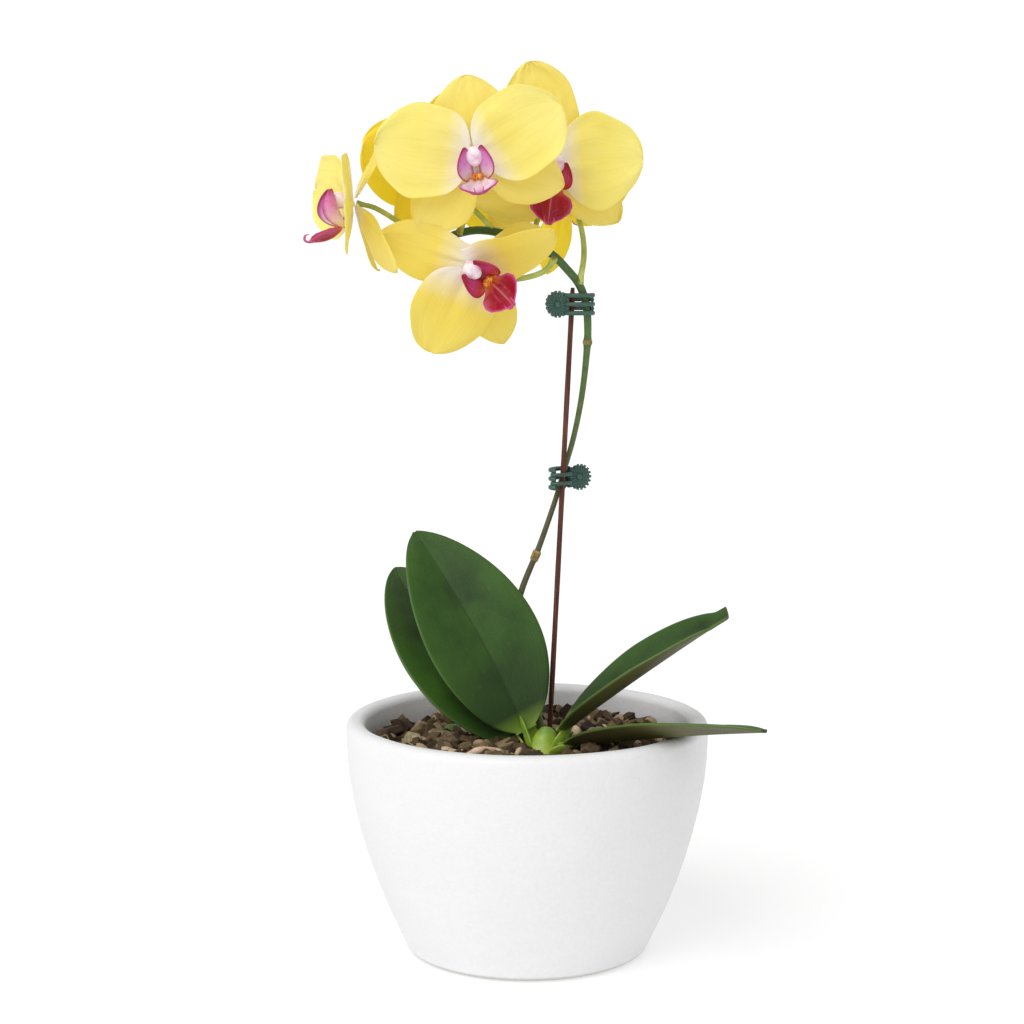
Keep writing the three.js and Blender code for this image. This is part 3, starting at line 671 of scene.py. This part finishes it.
# %% Leaves
# A leaf's base: degrees round the crown, gap from the crown's side, height above the bark
SHEATH_THICKNESS = 1.1
LEAVES = {
    "leaf_large_left": dict(
        base=(160, 3, 12), tip=(-63, 25, 229), face=(0.25, -0.9, 0.35),
        width=65, skew=0.84, fullness=0.62, fold=0.26, arch=0.14, bow=0.012, stalk=0.2),
    "leaf_back_left": dict(
        base=(142, 6.8, 3.5), tip=(-76, 45, 206), face=(0.45, -0.8, 0.4),
        width=62, skew=0.86, fullness=0.6, fold=0.2, arch=0.2, bow=-0.07, stalk=0.2),
    "leaf_upper_right": dict(
        base=(-18, 1, 13), tip=(106, -45, 193), face=(-0.45, -0.2, 0.85),
        width=44, skew=0.9, fullness=0.6, fold=0.4, arch=0.06, stalk=0.24, blunt=0.34, roll=12),
    "leaf_lower_right": dict(
        base=(-36, 3.3, 5.5), tip=(120, -95, 142), face=(-0.25, 0.45, 0.9),
        width=40, skew=0.95, fullness=0.6, fold=0.3, arch=0.06, stalk=0.26, blunt=0.14),
}


def leaf(name, base, tip, face, arch, **shape):
    around, gap, height = base
    away = CROWN_RADIUS + gap
    ray = Vector((cos(radians(around)), sin(radians(around)), 0))
    start = Vector((*CROWN_AT, BED_TOP + height)) + ray * away
    out = Vector(tip) - start
    length = out.length
    out.normalize()
    side = out.cross(Vector(face)).normalized()
    front = side.cross(out)
    surface = blade(start, out, side, front, dict(shape, length=length, sweep=arch, curl=-2 * arch))
    seed = len(name)

    def waved(u, v):
        wave = 1.1 * v * v * noise.noise(Vector((4 * u + seed, 1.5 * v, seed)))
        channel = -0.9 * exp(-((v / 0.07) ** 2)) * (1 - u**4)
        tip_curl = -5 * max(0, u - 0.9) * abs(v)
        rolled = shape.get("roll", 0) * max(0, -v - 0.3) ** 2 * sin(pi * min(1, u + 0.1)) ** 0.5
        return surface(u, -v) + front * (wave + channel + tip_curl + rolled)

    bm = bmesh.new()
    sheet(bm, waved, 46, 24)
    piece(
        bm, name.replace("leaf_", "blade_"), "leaf", leaf_top.material, leaf_under.material,
        stands_for=[name],
        modifiers=thick(1.7, material_offset=1, material_offset_rim=0))
    # The sheath that the leaf rises from, wrapped round the crown.
    foot = Vector((*CROWN_AT, BED_TOP - 2)) + ray * (CROWN_RADIUS - 0.5)
    rise = start + out * 9 - foot
    reach = rise.length
    rise.normalize()
    across = rise.cross(ray).normalized()
    sheath = dict(length=reach, width=20, skew=0.62, fullness=0.5, curl=0.12, cup=1.25, stalk=0.75)
    bm = bmesh.new()
    sheet(bm, blade(foot, rise, across, -across.cross(rise), sheath), 16, 16)
    piece(bm, name.replace("leaf", "sheath"), "crown", stem_skin.material, modifiers=thick(SHEATH_THICKNESS))


for name, shape in LEAVES.items():
    leaf(name, **shape)

# The split sheath of an old leaf.
OLD_SHEATH = dict(length=27, width=27, skew=0.5, fullness=0.4, curl=0.15, cup=1.2, stalk=0.9, blunt=0.25)
rise, across, inward = (Vector(v).normalized() for v in ((0.1, 0.42, 0.9), (-1, 0, 0.1), (0, 0.9, -0.42)))
bm = bmesh.new()
sheet(bm, blade(Vector((8, -27, BED_TOP - 8)), rise, across, inward, OLD_SHEATH), 20, 18)
piece(bm, "old_sheath", "crown", stem_skin.material, modifiers=thick(SHEATH_THICKNESS))

# %% [markdown]
# ## The flower spike
# One stem grows from the crown, leans on the stake and arches over, and six side stalks carry the
# flowers. It is purple-brown and olive low down, green above, and the side stalks are pale
# yellow-green. The stem swells a little at each joint and wears a dry sleeve there, and a small dry
# scale sits at the root of every side stalk.

# %% Spike finish
green = Finish("spike_skin", roughness=0.42, specular=0.45)
body = green.ramp(
    green.height(0.11, 0.40), (0.0, "6E7A3C"), (0.18, "4C4A2C"), (0.45, "514F30"), (0.58, "55652F"),
    (0.8, "4F7232"), (1.0, "35602A"))
green.paint(green.blend(green.ramp(green.noise(260, 4), (0.4, 0.0), (0.75, 0.5)), body, "3A2A20"))
green.bump((green.noise(300, 3, stretch=(1, 1, 0.3)), 0.0003))

stalk_skin = speckled(
    "stalk_skin", 0.45, 0.4, (90, 4), [(0.3, "8E9E42"), (0.6, "B4BE5E"), (0.85, "CDD488")],
    ((400, 3), 0.0002))
scale_skin = speckled(
    "dry_scale", 0.7, 0.2, (300, 4), [(0.3, "6B5A34"), (0.6, "A38F5C"), (0.85, "C2B486")], ((500, 4), 0.0003))
print("stem finishes ready")

# %% The flowers' places
USUAL = dict(curl=-0.12, stalk=0.3)
DORSAL = dict(USUAL, length=46, width=37, skew=0.92, fullness=0.56, lift=-1, sweep=-0.1, cup=-0.12)
PETAL = dict(USUAL, length=50, width=52, skew=0.82, fullness=0.42, lift=0.8, sweep=0.05, cup=0.1)
LATERAL = dict(USUAL, length=47, width=30, skew=1.1, fullness=0.64, lift=-1, sweep=-0.12, cup=-0.1)

FLOWERS = {
    "front": dict(
        centre=(-28, -28, 433), facing=(0, -1, -0.04), lip=279, lip_size=0.88,
        dorsal_sepal=(96, dict(length=41, width=42)), petal_right=(31, dict(width=49, fullness=0.44)),
        petal_left=(172, dict(width=50)), lateral_sepal_right=(-17, dict(width=33)),
        lateral_sepal_left=(232, dict(width=34)),
        stalk=[(-37, -1, 394), (-33, -4, 405), (-29.5, -14, 420)]),
    "upper_right": dict(
        centre=(15, 12, 432), facing=(0.05, -0.98, -0.18), lip=262, lip_lean=(0.12, 0.5), wing_size=0.75,
        dorsal_sepal=(105, dict(length=53, width=40, fullness=0.5, sweep=-0.02, crinkle=2.2)),
        petal_right=(5, dict(length=45)), petal_left=(190, {}),
        lateral_sepal_right=(-42, {}), lateral_sepal_left=(226, {}),
        stalk=[(1.3, 9, 390), (5, 24.5, 400), (9.5, 29.5, 414)]),
    "lower": dict(
        centre=(-30, -17, 377), facing=(0.16, -0.93, -0.33), lip=-36, lip_lean=(0.6, 0.6), wing_size=0.85,
        dorsal_sepal=(167, dict(sweep=-0.2, width=32, length=53, stalk=0.7, gap=-1)),
        petal_right=(27, dict(twist=0.5, cup=0.5, sweep=0.2, width=38, length=49, stalk=0.7, gap=-1)),
        petal_left=(248, dict(width=46)), lateral_sepal_right=(14, dict(width=26, sweep=-0.35)),
        lateral_sepal_left=(-66, dict(width=28, length=51)),
        stalk=[(15, 12.5, 381), (9, 6, 374), (-4, 1, 370), (-16, -2, 370), (-26, -6, 374.5)]),
    "end": dict(
        centre=(-93, -9, 410), facing=(-0.97, -0.23, 0), lip=270,
        dorsal_sepal=(90, dict(sweep=-0.4, width=30)), petal_right=(0, dict(sweep=0.3)),
        petal_left=(170, dict(sweep=0.3, width=46)),
        lateral_sepal_right=(-50, dict(sweep=-0.3, width=26)),
        lateral_sepal_left=(228, dict(sweep=-0.3, width=26)),
        stalk=[(-47, -4, 391), (-59, -3, 394), (-71, -5, 401.5), (-82.5, -6, 408)]),
    "back_left": dict(
        centre=(-42, 34, 424), facing=(-0.42, 0.9, 0.1), lip=262,
        dorsal_sepal=(78, {}), petal_right=(20, dict(length=53, width=50)),
        petal_left=(186, dict(length=42, width=46)), lateral_sepal_right=(-30, dict(length=40)),
        lateral_sepal_left=(216, dict(length=40)),
        stalk=[(-19, 4, 395.5), (-24, 12, 402), (-36, 24, 414)]),
    "back_right": dict(
        centre=(21, 50, 417), facing=(0.6, 0.79, -0.1), lip=238, lip_size=0.8,
        dorsal_sepal=(90, {}), petal_right=(14, dict(length=40, width=40)),
        petal_left=(168, dict(length=40, width=38)),
        lateral_sepal_right=(280, dict(length=43, width=24, sweep=0.05)),
        lateral_sepal_left=(208, dict(length=28, width=22, sweep=0.05)),
        stalk=[(28.4, 15, 366.5), (31, 18, 383), (29.5, 24, 398), (25, 34, 410)]),
}
LOBES = {
    "dorsal_sepal": DORSAL, "petal_right": PETAL, "petal_left": PETAL,
    "lateral_sepal_right": LATERAL, "lateral_sepal_left": LATERAL,
}


def axes(flower):
    """The flower's own right, up and forward."""
    front = Vector(flower["facing"]).normalized()
    right = Vector((0, 0, 1)).cross(front).normalized()
    return right, front.cross(right), front


def frame_round(flower, angle):
    """The directions out from the flower's centre at an angle, across it, and forward."""
    right, up, front = axes(flower)
    turn = radians(angle)
    out = right * cos(turn) + up * sin(turn)
    return out, front.cross(out), front


print(len(FLOWERS), "flowers placed")

# %% Spike shape
SPIKE = [
    (9, 1, 109), (7, 2.5, 126), (-2, 6.5, 146), (-8.5, 11.5, 164), (-4, 16, 194), (7.1, 17.5, 222.7),
    (16.4, 18.6, 250), (20.7, 19, 265), (25.3, 19.2, 281), (29.7, 18, 303), (32.3, 17, 325),
    (33.2, 16, 342), (32.1, 15, 356), (28.4, 15, 366.5), (21.6, 14, 375), (13.4, 12, 383), (1.3, 9, 390),
    (-12.2, 6, 394), (-26.8, 2, 396), (-38.1, -1, 394), (-47.1, -4, 390.7), (-51.4, -3, 395.5),
]
spike_path = curve_points(SPIKE, 220)
JOINTS = {0.315: 2, 0.65: 1}  # share of the stem's length, and half the length of its sleeve in steps


def spike_radius(share):
    swell = sum(0.5 * exp(-(((share - at) / 0.006) ** 2)) for at in JOINTS)
    upper = 0.35 * min(1, max(0, (share - 0.6) / 0.1))
    return 2.1 - 0.5 * exp(-(((share - 0.42) / 0.2) ** 2)) - 0.25 * share + upper + swell


def stalk_radius(share):
    """Swollen where it leaves the stem and where it meets the flower."""
    return 1.65 - 0.35 * share + 0.8 * exp(-((share / 0.06) ** 2)) + 8 * max(0, share - 0.92)


bm = bmesh.new()
tube(bm, spike_path, spike_radius, 18)
for flower in FLOWERS.values():
    end = Vector(flower["centre"]) - axes(flower)[2] * 1.8
    path = curve_points([*flower["stalk"], end], 36)
    tube(bm, path, stalk_radius, 16, 1)
piece(bm, "stem_and_stalks", "spike", green.material, stalk_skin.material, stands_for=["flower_spike"])


# %% Scales at the joints
SCALE = dict(length=4, width=3.6, skew=0.6, fullness=0.8, sweep=0.1, curl=0.3, cup=0.9, stalk=0.8)
SCALE_SIDE = Vector((-0.5, -0.7, -0.5))
bm = bmesh.new()
for share, rows in JOINTS.items():
    i = round(share * (len(spike_path) - 1))
    sleeve = spike_path[i - rows:i + rows + 1]
    tube(bm, sleeve, lambda s: spike_radius(share) + 0.05 + 0.2 * s, 18)
for flower in FLOWERS.values():
    first, second = (Vector(p) for p in flower["stalk"][:2])
    ahead = (second - first).normalized()
    outward = (SCALE_SIDE - ahead * SCALE_SIDE.dot(ahead)).normalized()
    across = outward.cross(ahead).normalized()
    sheet(bm, blade(first + outward * 1.9, ahead, across, outward, SCALE), 8, 6)
piece(bm, "joint_scales", "spike", scale_skin.material, modifiers=thick(0.35))

# %% [markdown]
# ## Petals and sepals
# Each flower has two broad petals in front and three narrower sepals behind. A petal is a soft sheet
# about half a millimetre thick. Its outline and its curve start from the frame's; slow waves toward
# an uneven margin and a shallow crease down the middle keep it alive. The finish carries the rest:
# fine veins from base to tip, whose darker lines are also painted shading streaks, a white heart, and
# light that shines through.


# %% Petal finish
def petal_finish(name, heart, main, margin, vein_and_shade_streak, glow, spread=1.0):
    made = Finish(name, roughness=0.55, specular=0.2)
    along = made.uv()[0]
    mottling = made.noise(38, 4)
    body = made.blend(made.ramp(mottling, (0.3, 0.0), (0.75, 0.5)), main, margin)
    body = made.blend(made.ramp(along, (0.55, 0.0), (1.0, 0.5)), body, margin)
    lines = made.noise(30, 3, 0.45, stretch=(0.05, 1.0, 1.0), source="UV")
    # Darker vein lines, which also serve as painted shading streaks radiating from the heart.
    body = made.blend(made.ramp(lines, (0.5, 0.0), (0.8, 0.2)), body, vein_and_shade_streak)
    speckle = made.ramp(made.noise(1100, 2), (0.35, 0.0), (0.65, 0.14))
    near = made.maths("ADD", along, made.maths("MULTIPLY", speckle, 0.4))
    glowing = made.ramp(near, (0.07 * spread, 0.97), (0.16 * spread, 0.55), (0.3 * spread, 0.0))
    body = made.blend(glowing, body, heart)
    made.paint(body)
    made.bump((lines, 0.00025), (made.noise(1600, 3), 0.00004), (mottling, 0.0014))
    made.glow_through(glow, body)
    return made


# Lit and shaded copies of one finish. The front, upper-right and end flowers, in full light, get the lit
# copies. The lower flower, in the front flower's shadow, gets a copy painted a deeper yellow as half shade,
# with a wider white heart. The two back flowers get a copy painted a deeper, more saturated yellow as shade.
lit_petal = petal_finish("petal_lit", "FFFBF8", "FFF588", "FFF8AE", "F4D444", 0.36)
lit_sepal = petal_finish("sepal_lit", "FFF8DC", "FFF07C", "FFF49C", "F0CE3C", 0.36)
half_shaded_petal = petal_finish("petal_half_shaded", "FFFBF8", "FFEE6E", "FFF290", "F0CC3C", 0.36, 1.45)
shaded_petal = petal_finish("petal_shaded", "FFF6D8", "FFF45E", "FFEC58", "EEC83A", 0.5)
SKINS = {
    "front": (lit_petal, lit_sepal), "upper_right": (lit_petal, lit_sepal),
    "end": (lit_petal, lit_sepal), "lower": (half_shaded_petal, half_shaded_petal),
    "back_left": (shaded_petal, shaded_petal), "back_right": (shaded_petal, shaded_petal),
}


# %% Petal shapes
def lobe(name, part, flower, angle, shape, seed):
    out, side, front = frame_round(flower, angle)
    start = Vector(flower["centre"]) + out * shape.get("gap", 3) + front * shape["lift"]
    surface = blade(start, out, side, front, shape)
    wide = shape["width"] / 40
    first = Vector((seed * 3.7, seed * 1.3, 0.5))

    def waved(u, v):
        margin = (0.15 + v * v) * (0.2 + 0.8 * u)
        wave = 3.6 * wide * margin * noise.noise(first + Vector((2.3 * u, 1.9 * v, 0)))
        wave += shape.get("crinkle", 0.5) * u * noise.noise(first + Vector((9 * u, 7 * v, 0)))
        flutter = 0.55 * v**4 * sin(9 * u + seed) * u
        crease = -1.1 * exp(-((v / 0.09) ** 2)) * max(0, 1 - 1.2 * u)
        crease += 0.5 * sin(11 * v + seed) * exp(-(((u - 0.25) / 0.2) ** 2))
        uneven = 1 + 0.11 * noise.noise(first + Vector((3.1 * u, 5 if v > 0 else -5, 0)))
        return surface(u, v * uneven) + front * (wave + flutter + crease)

    bm = bmesh.new()
    sheet(bm, waved, 26, 20)
    skin = SKINS[name]["sepal" in part]
    piece(
        bm, f"{name}_{part}", "petal", skin.material, stands_for=[f"flower_{name}_{part}"],
        modifiers=thick(0.55))


for n, (name, flower) in enumerate(FLOWERS.items()):
    for m, (part, usual) in enumerate(LOBES.items()):
        angle, own = flower[part]
        lobe(name, part, flower, angle, {**usual, **own}, 1.7 * n + 0.9 * m)

# %% [markdown]
# ## Lips
# The lip is the showy, stiff third petal. A short claw holds it under the column, two side lobes
# stand up like small wings, and the middle lobe is shaped like an anchor with two curling tendrils
# at its tip. A yellow warty cushion with red dots sits where the three lobes meet. Its colours run
# from pink at the rims through crimson to orange in the throat.

# %% Lip finishes
def lip_finish(name, rim, rim_from, *stops):
    """Colours that run along a lobe of the lip, with a rim of another colour round it."""
    made = Finish(name, roughness=0.38, specular=0.45)
    along, across = made.uv()
    from_middle = made.from_middle(across)
    blotch = made.noise(420, 3)
    body = made.ramp(along, *stops)
    body = made.blend(made.ramp(from_middle, (0.0, 0.3), (0.022, 0.0)), body, "F3C7DC")
    body = made.blend(made.ramp(from_middle, (rim_from, 0.0), (0.49, 0.85)), body, rim)
    body = made.blend(made.ramp(blotch, (0.55, 0.0), (0.75, 0.4)), body, rim)
    made.paint(body)
    made.bump((blotch, 0.0003))
    made.glow_through(0.15, body)
    return made


lip_skin = lip_finish(
    "lip_crimson", "D04A90", 0.4,
    (0.0, "F0A048"), (0.12, "DC6430"), (0.26, "B41428"), (0.72, "A8122A"), (0.92, "C02048"), (1.0, "D860A8"))
pale_lip_skin = lip_finish(
    "lip_pale", "B82A6C", 0.4,
    (0.0, "F6C860"), (0.12, "F8E4D8"), (0.4, "F8E4F0"), (0.7, "ECB0DC"), (0.88, "C04890"), (1.0, "A01E58"))
wing_skin = lip_finish(
    "lip_wing", "B01E48", 0.3,
    (0.0, "E88A38"), (0.2, "D84A48"), (0.5, "D24A8C"), (0.8, "B8264C"), (1.0, "A0162E"))
pale_wing_skin = lip_finish(
    "lip_wing_pale", "A8204C", 0.36,
    (0.0, "F6D06A"), (0.2, "F8E0E4"), (0.5, "EBA4E0"), (0.8, "E27CC8"), (1.0, "B02450"))

callus_skin = Finish("lip_cushion", roughness=0.35, specular=0.5)
dots = callus_skin.noise(900, 2)
callus_skin.paint(callus_skin.ramp(dots, (0.42, "F7B832"), (0.56, "CC4A1E")))
callus_skin.bump((dots, 0.0002))
print("lip finishes ready")


# %% Lip shapes
LIP_LENGTH, LIP_HALF_WIDTH = 21, 12


def middle_lobe(start, out, side, front, size, lean_from, lean_by):
    """Two broad rounded halves either side of a keel, drawn in to a short tip that turns up."""
    outline = [
        (0, 0.4), (0.12, 0.5), (0.32, 0.92), (0.5, 1.0), (0.7, 0.92), (0.86, 0.66), (0.96, 0.3), (1, 0.12)]

    def half(u):
        for (a, left), (b, right) in zip(outline, outline[1:]):
            if u <= b:
                t = (u - a) / (b - a)
                return left + (right - left) * t * t * (3 - 2 * t)
        return outline[-1][1]

    def surface(u, v):
        lean = lean_from + lean_by * u
        reach = LIP_LENGTH * size * (sin(lean) - sin(lean_from)) / lean_by
        rise = LIP_LENGTH * size * (cos(lean_from) - cos(lean)) / lean_by
        width = LIP_HALF_WIDTH * size * half(u)
        off = front * cos(lean) - out * sin(lean)
        lift = 3.4 * size * v * v * half(u) + 1.1 * size * exp(-((v / 0.13) ** 2)) * (1 - u)
        lift -= 1.6 * size * exp(-(((abs(v) - 0.35) / 0.2) ** 2)) * sin(pi * u)
        forward = -2.2 * size * v * v * half(u) * (u > 0.4) * (u - 0.4)
        return start + out * (reach + forward) + front * rise + side * (width * v) + off * lift

    return surface


def wing_surface(root, out, side, front, way, size):
    """A side lobe: it rises beside the column, leans out and cups round it."""
    rise = (-0.95 * out + way * 0.12 * side + 0.25 * front).normalized()
    face = -way * side + front
    face = (face - rise * face.dot(rise)).normalized()
    shape = dict(
        length=21 * size, width=15 * size, skew=0.95, fullness=0.5, cup=0.95, curl=0.3, stalk=0.3,
        bow=-0.2 * way)
    return blade(root, rise, face.cross(rise), face, shape)


def lip(flower):
    size = flower.get("lip_size", 1)
    out, side, front = frame_round(flower, flower["lip"])
    centre = Vector(flower["centre"])
    hinge = centre + out * 4.4 + front * 2.6
    elbow = hinge + out * 7.2 * size + front * 2.8 * size
    bm = bmesh.new()
    claw = dict(length=9 * size, width=8 * size, skew=0.9, fullness=0.4, sweep=0.3, cup=0.7, stalk=0.8)
    sheet(bm, blade(hinge, out, side, front, claw), 10, 8)
    tongue = middle_lobe(elbow, out, side, front, size, *flower.get("lip_lean", (0.75, 0.75)))
    sheet(bm, tongue, 28, 24)
    for way in (1, -1):
        root = elbow + out * 0.5 + side * way * 5 * size
        sheet(bm, wing_surface(root, out, side, front, way, size * flower.get("wing_size", 1)), 20, 16, 1)
    return bm, tongue(1, 0), elbow


for name, flower in FLOWERS.items():
    tongue_skin = pale_lip_skin if name == "front" else lip_skin
    side_skin = pale_wing_skin if name in ("front", "end") else wing_skin
    bm, tip, elbow = lip(flower)
    piece(
        bm, f"{name}_lip", "lip", tongue_skin.material, side_skin.material, stands_for=[f"flower_{name}_lip"],
        modifiers=thick(0.8))
    size = flower.get("lip_size", 1)
    out, side, front = frame_round(flower, flower["lip"])
    bm = bmesh.new()
    for way in (1, -1):
        course = [
            tip - front * 1.5 * size, tip + (side * way * 1.0 + front * 1.2) * size,
            tip + (side * way * 2.0 + front * 2.6 - out * 1.0) * size,
            tip + (side * way * 2.8 + front * 2.2 - out * 3.4) * size,
            tip + (side * way * 2.6 + front * 0.4 - out * 4.0) * size,
        ]
        tube(bm, curve_points(course, 18), lambda s: 0.75 * size * (1 - 0.75 * s), 8)
    piece(bm, f"{name}_tendrils", "lip", tongue_skin.material)
    bm = bmesh.new()
    for way in (1, -1):
        bump = bmesh.ops.create_uvsphere(bm, u_segments=12, v_segments=8, radius=2.2 * size)["verts"]
        shift = elbow + (side * way * 1.3 + front * 2.0 - out * 1.5) * size
        bmesh.ops.translate(bm, vec=shift, verts=bump)
    piece(bm, f"{name}_cushion", "lip", callus_skin.material)

# %% [markdown]
# ## Columns
# The column is the blunt white club over the lip that carries the pollen under a cap. It is a spun
# profile with a rounded cap, a little flattened, and two small wings beside the hollow below the cap.

# %% Column finish
column_skin = Finish("column_white", roughness=0.4, specular=0.4)
blush = column_skin.noise(260, 3)
column_skin.paint(column_skin.ramp(blush, (0.4, "FFFDFA"), (0.58, "F8DCE8"), (0.75, "E8A8CC")))
column_skin.bump((blush, 0.0003))
column_skin.glow_through(0.15, column_skin.ramp(blush, (0.0, "FFFFFF"), (1.0, "F7D8E4")))


# %% Column shapes
COLUMN_PROFILE = [
    (0.01, 0), (1.9, 0.2), (2.1, 2.5), (2.5, 5.5), (3.0, 8), (3.1, 9.6), (2.5, 11.2), (1.4, 12),
    (0.01, 12.2),
]


def column(name, flower):
    out, side, front = frame_round(flower, flower["lip"])
    bm = spun(COLUMN_PROFILE, 20, 0.05)
    for vert in bm.verts:
        if vert.co.x > 0:
            hollow = exp(-(((vert.co.z - 7.6) / 1.8) ** 2) - (vert.co.y / 1.6) ** 2)
            vert.co.x -= 1.7 * hollow
            vert.co.x += 0.5 * exp(-(((vert.co.z - 11) / 1.0) ** 2))
        vert.co.x = vert.co.x * 1.8 - 0.8
        vert.co.y *= 1.45 - 0.05 * vert.co.x
    place = Matrix((out, side, front)).transposed().to_4x4()
    bmesh.ops.transform(bm, matrix=Matrix.Translation(flower["centre"]) @ place, verts=bm.verts)
    piece(
        bm, f"{name}_column", "column", column_skin.material, stands_for=[f"flower_{name}_column"],
        modifiers=[smooth()])


for name, flower in FLOWERS.items():
    column(name, flower)

# %% [markdown]
# ## Clips
# Two moulded claw clips hold the stem to the stake. The frame's jaws have the right shape, so they
# stay and get a bevel and a finish of dark green plastic. Rounded ribs are added to the finger pads,
# and round bars to the claws; they ride with their jaw as it opens.

# %% Clip finish
plastic = speckled(
    "clip_plastic", 0.38, 0.5, (60, 3), [(0.3, "2C4B43"), (0.7, "3F6357")], ((800, 3), 0.00008))
plastic.rough(plastic.ramp(plastic.noise(150, 3), (0.3, 0.32), (0.7, 0.5)))

steel = speckled("pin_steel", 0.35, 0.5, (600, 3), [(0.3, "7C7C7A"), (0.7, "B0B0AE")])
steel.shader.inputs["Metallic"].default_value = 1.0

for clip in ("clip_upper", "clip_lower"):
    for part, skin in (("front_jaw", plastic), ("rear_jaw", plastic), ("pin", steel)):
        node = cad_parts[f"{clip}_{part}"]
        dress(node, skin)
        bevel = node.modifiers.new("Bevel", "BEVEL")
        bevel.width = 0.22 * MM
        bevel.segments = 2
        bevel.limit_method = "ANGLE"
print("clips finished")

# %% Ribs and claws
CLIPS = {"upper": (356, (19.8, 15), 0), "lower": (260, (23.2, 23.8), 236.5)}
PAD_HUB, PAD_FACE, PAD_TILT = -5.2, 3.1, 27
RIBS, RIB_COURSE = 18, (1.8, 3.5, 5.2, 6.6, 7.3)
CLAW_LENGTH, CLAW_BOW, CLAW_FROM, CLAW_SWEEP, CLAW_STEPS = 8, 4.8, 155, 171, 28


def clip_place(height, hinge, turn, way):
    """A clip's own place; way is -1 for the front jaw and 1 for the rear one."""
    place = Matrix.Translation((*hinge, height)) @ Matrix.Rotation(radians(turn), 4, "Z")
    return place @ Matrix.Diagonal((1, way, 1, 1))


def pad_ribs(name, body, height, hinge, turn, way):
    """Rounded ribs like the rays of a shell, and a low hub where they meet."""
    bm = bmesh.new()
    for k in range(RIBS):
        angle = 2 * pi * k / RIBS
        ray = Vector((cos(angle), 0, sin(angle)))
        tube(bm, [ray * away for away in RIB_COURSE], lambda s: 0.4 + 0.35 * s, 8)
    bmesh.ops.create_cone(
        bm, cap_ends=True, segments=20, radius1=2.4, radius2=1.5, depth=1.2,
        matrix=Matrix.Rotation(radians(-90), 4, "X"))
    place = clip_place(height, hinge, turn, way) @ Matrix.Rotation(radians(-PAD_TILT), 4, "Z")
    bmesh.ops.transform(bm, matrix=place @ Matrix.Translation((PAD_HUB, PAD_FACE, 0)), verts=bm.verts)
    bmesh.ops.recalc_face_normals(bm, faces=bm.faces)
    piece(bm, name, "clip", plastic.material, body=body)


def claw_rounds(name, body, height, hinge, turn, way, heights, radius):
    """A moulded round bar on every claw, thicker at the hooked end."""
    bm = bmesh.new()
    for z in heights:
        course = []
        for i in range(CLAW_STEPS + 1):
            angle = radians(CLAW_FROM - CLAW_SWEEP * i / CLAW_STEPS)
            along, off = CLAW_LENGTH + CLAW_LENGTH * cos(angle), CLAW_BOW * sin(angle)
            course.append(Vector((along, off, z)))
        tube(bm, course, lambda s: radius * (1 if s > 0.86 else 0.92), 12)
    bmesh.ops.transform(bm, matrix=clip_place(height, hinge, turn, way), verts=bm.verts)
    bmesh.ops.recalc_face_normals(bm, faces=bm.faces)
    piece(bm, name, "clip", plastic.material, body=body)


for clip, (height, hinge, turn) in CLIPS.items():
    pad_ribs(f"clip_{clip}_front_ribs", f"{clip}_clip_jaw", height, hinge, turn, -1)
    pad_ribs(f"clip_{clip}_rear_ribs", "plant", height, hinge, turn, 1)
    claw_rounds(f"clip_{clip}_front_claws", f"{clip}_clip_jaw", height, hinge, turn, -1, (-4.8, 0, 4.8), 1.4)
    claw_rounds(f"clip_{clip}_rear_claws", "plant", height, hinge, turn, 1, (-2.4, 2.4), 0.95)

# %% [markdown]
# ## Sizes and the end
# The finished model's box and the frame's are kept side by side, and their gap is printed for each axis.
# The finished model has to stay inside the frame's box.

# %% Sizes
low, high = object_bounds()
sizes = {
    "frame": [list(frame_low), list(frame_high)],
    "model": [list(low), list(high)],
}
for axis in range(3):
    print("xyz"[axis], round(low[axis] - frame_low[axis], 4), round(high[axis] - frame_high[axis], 4))
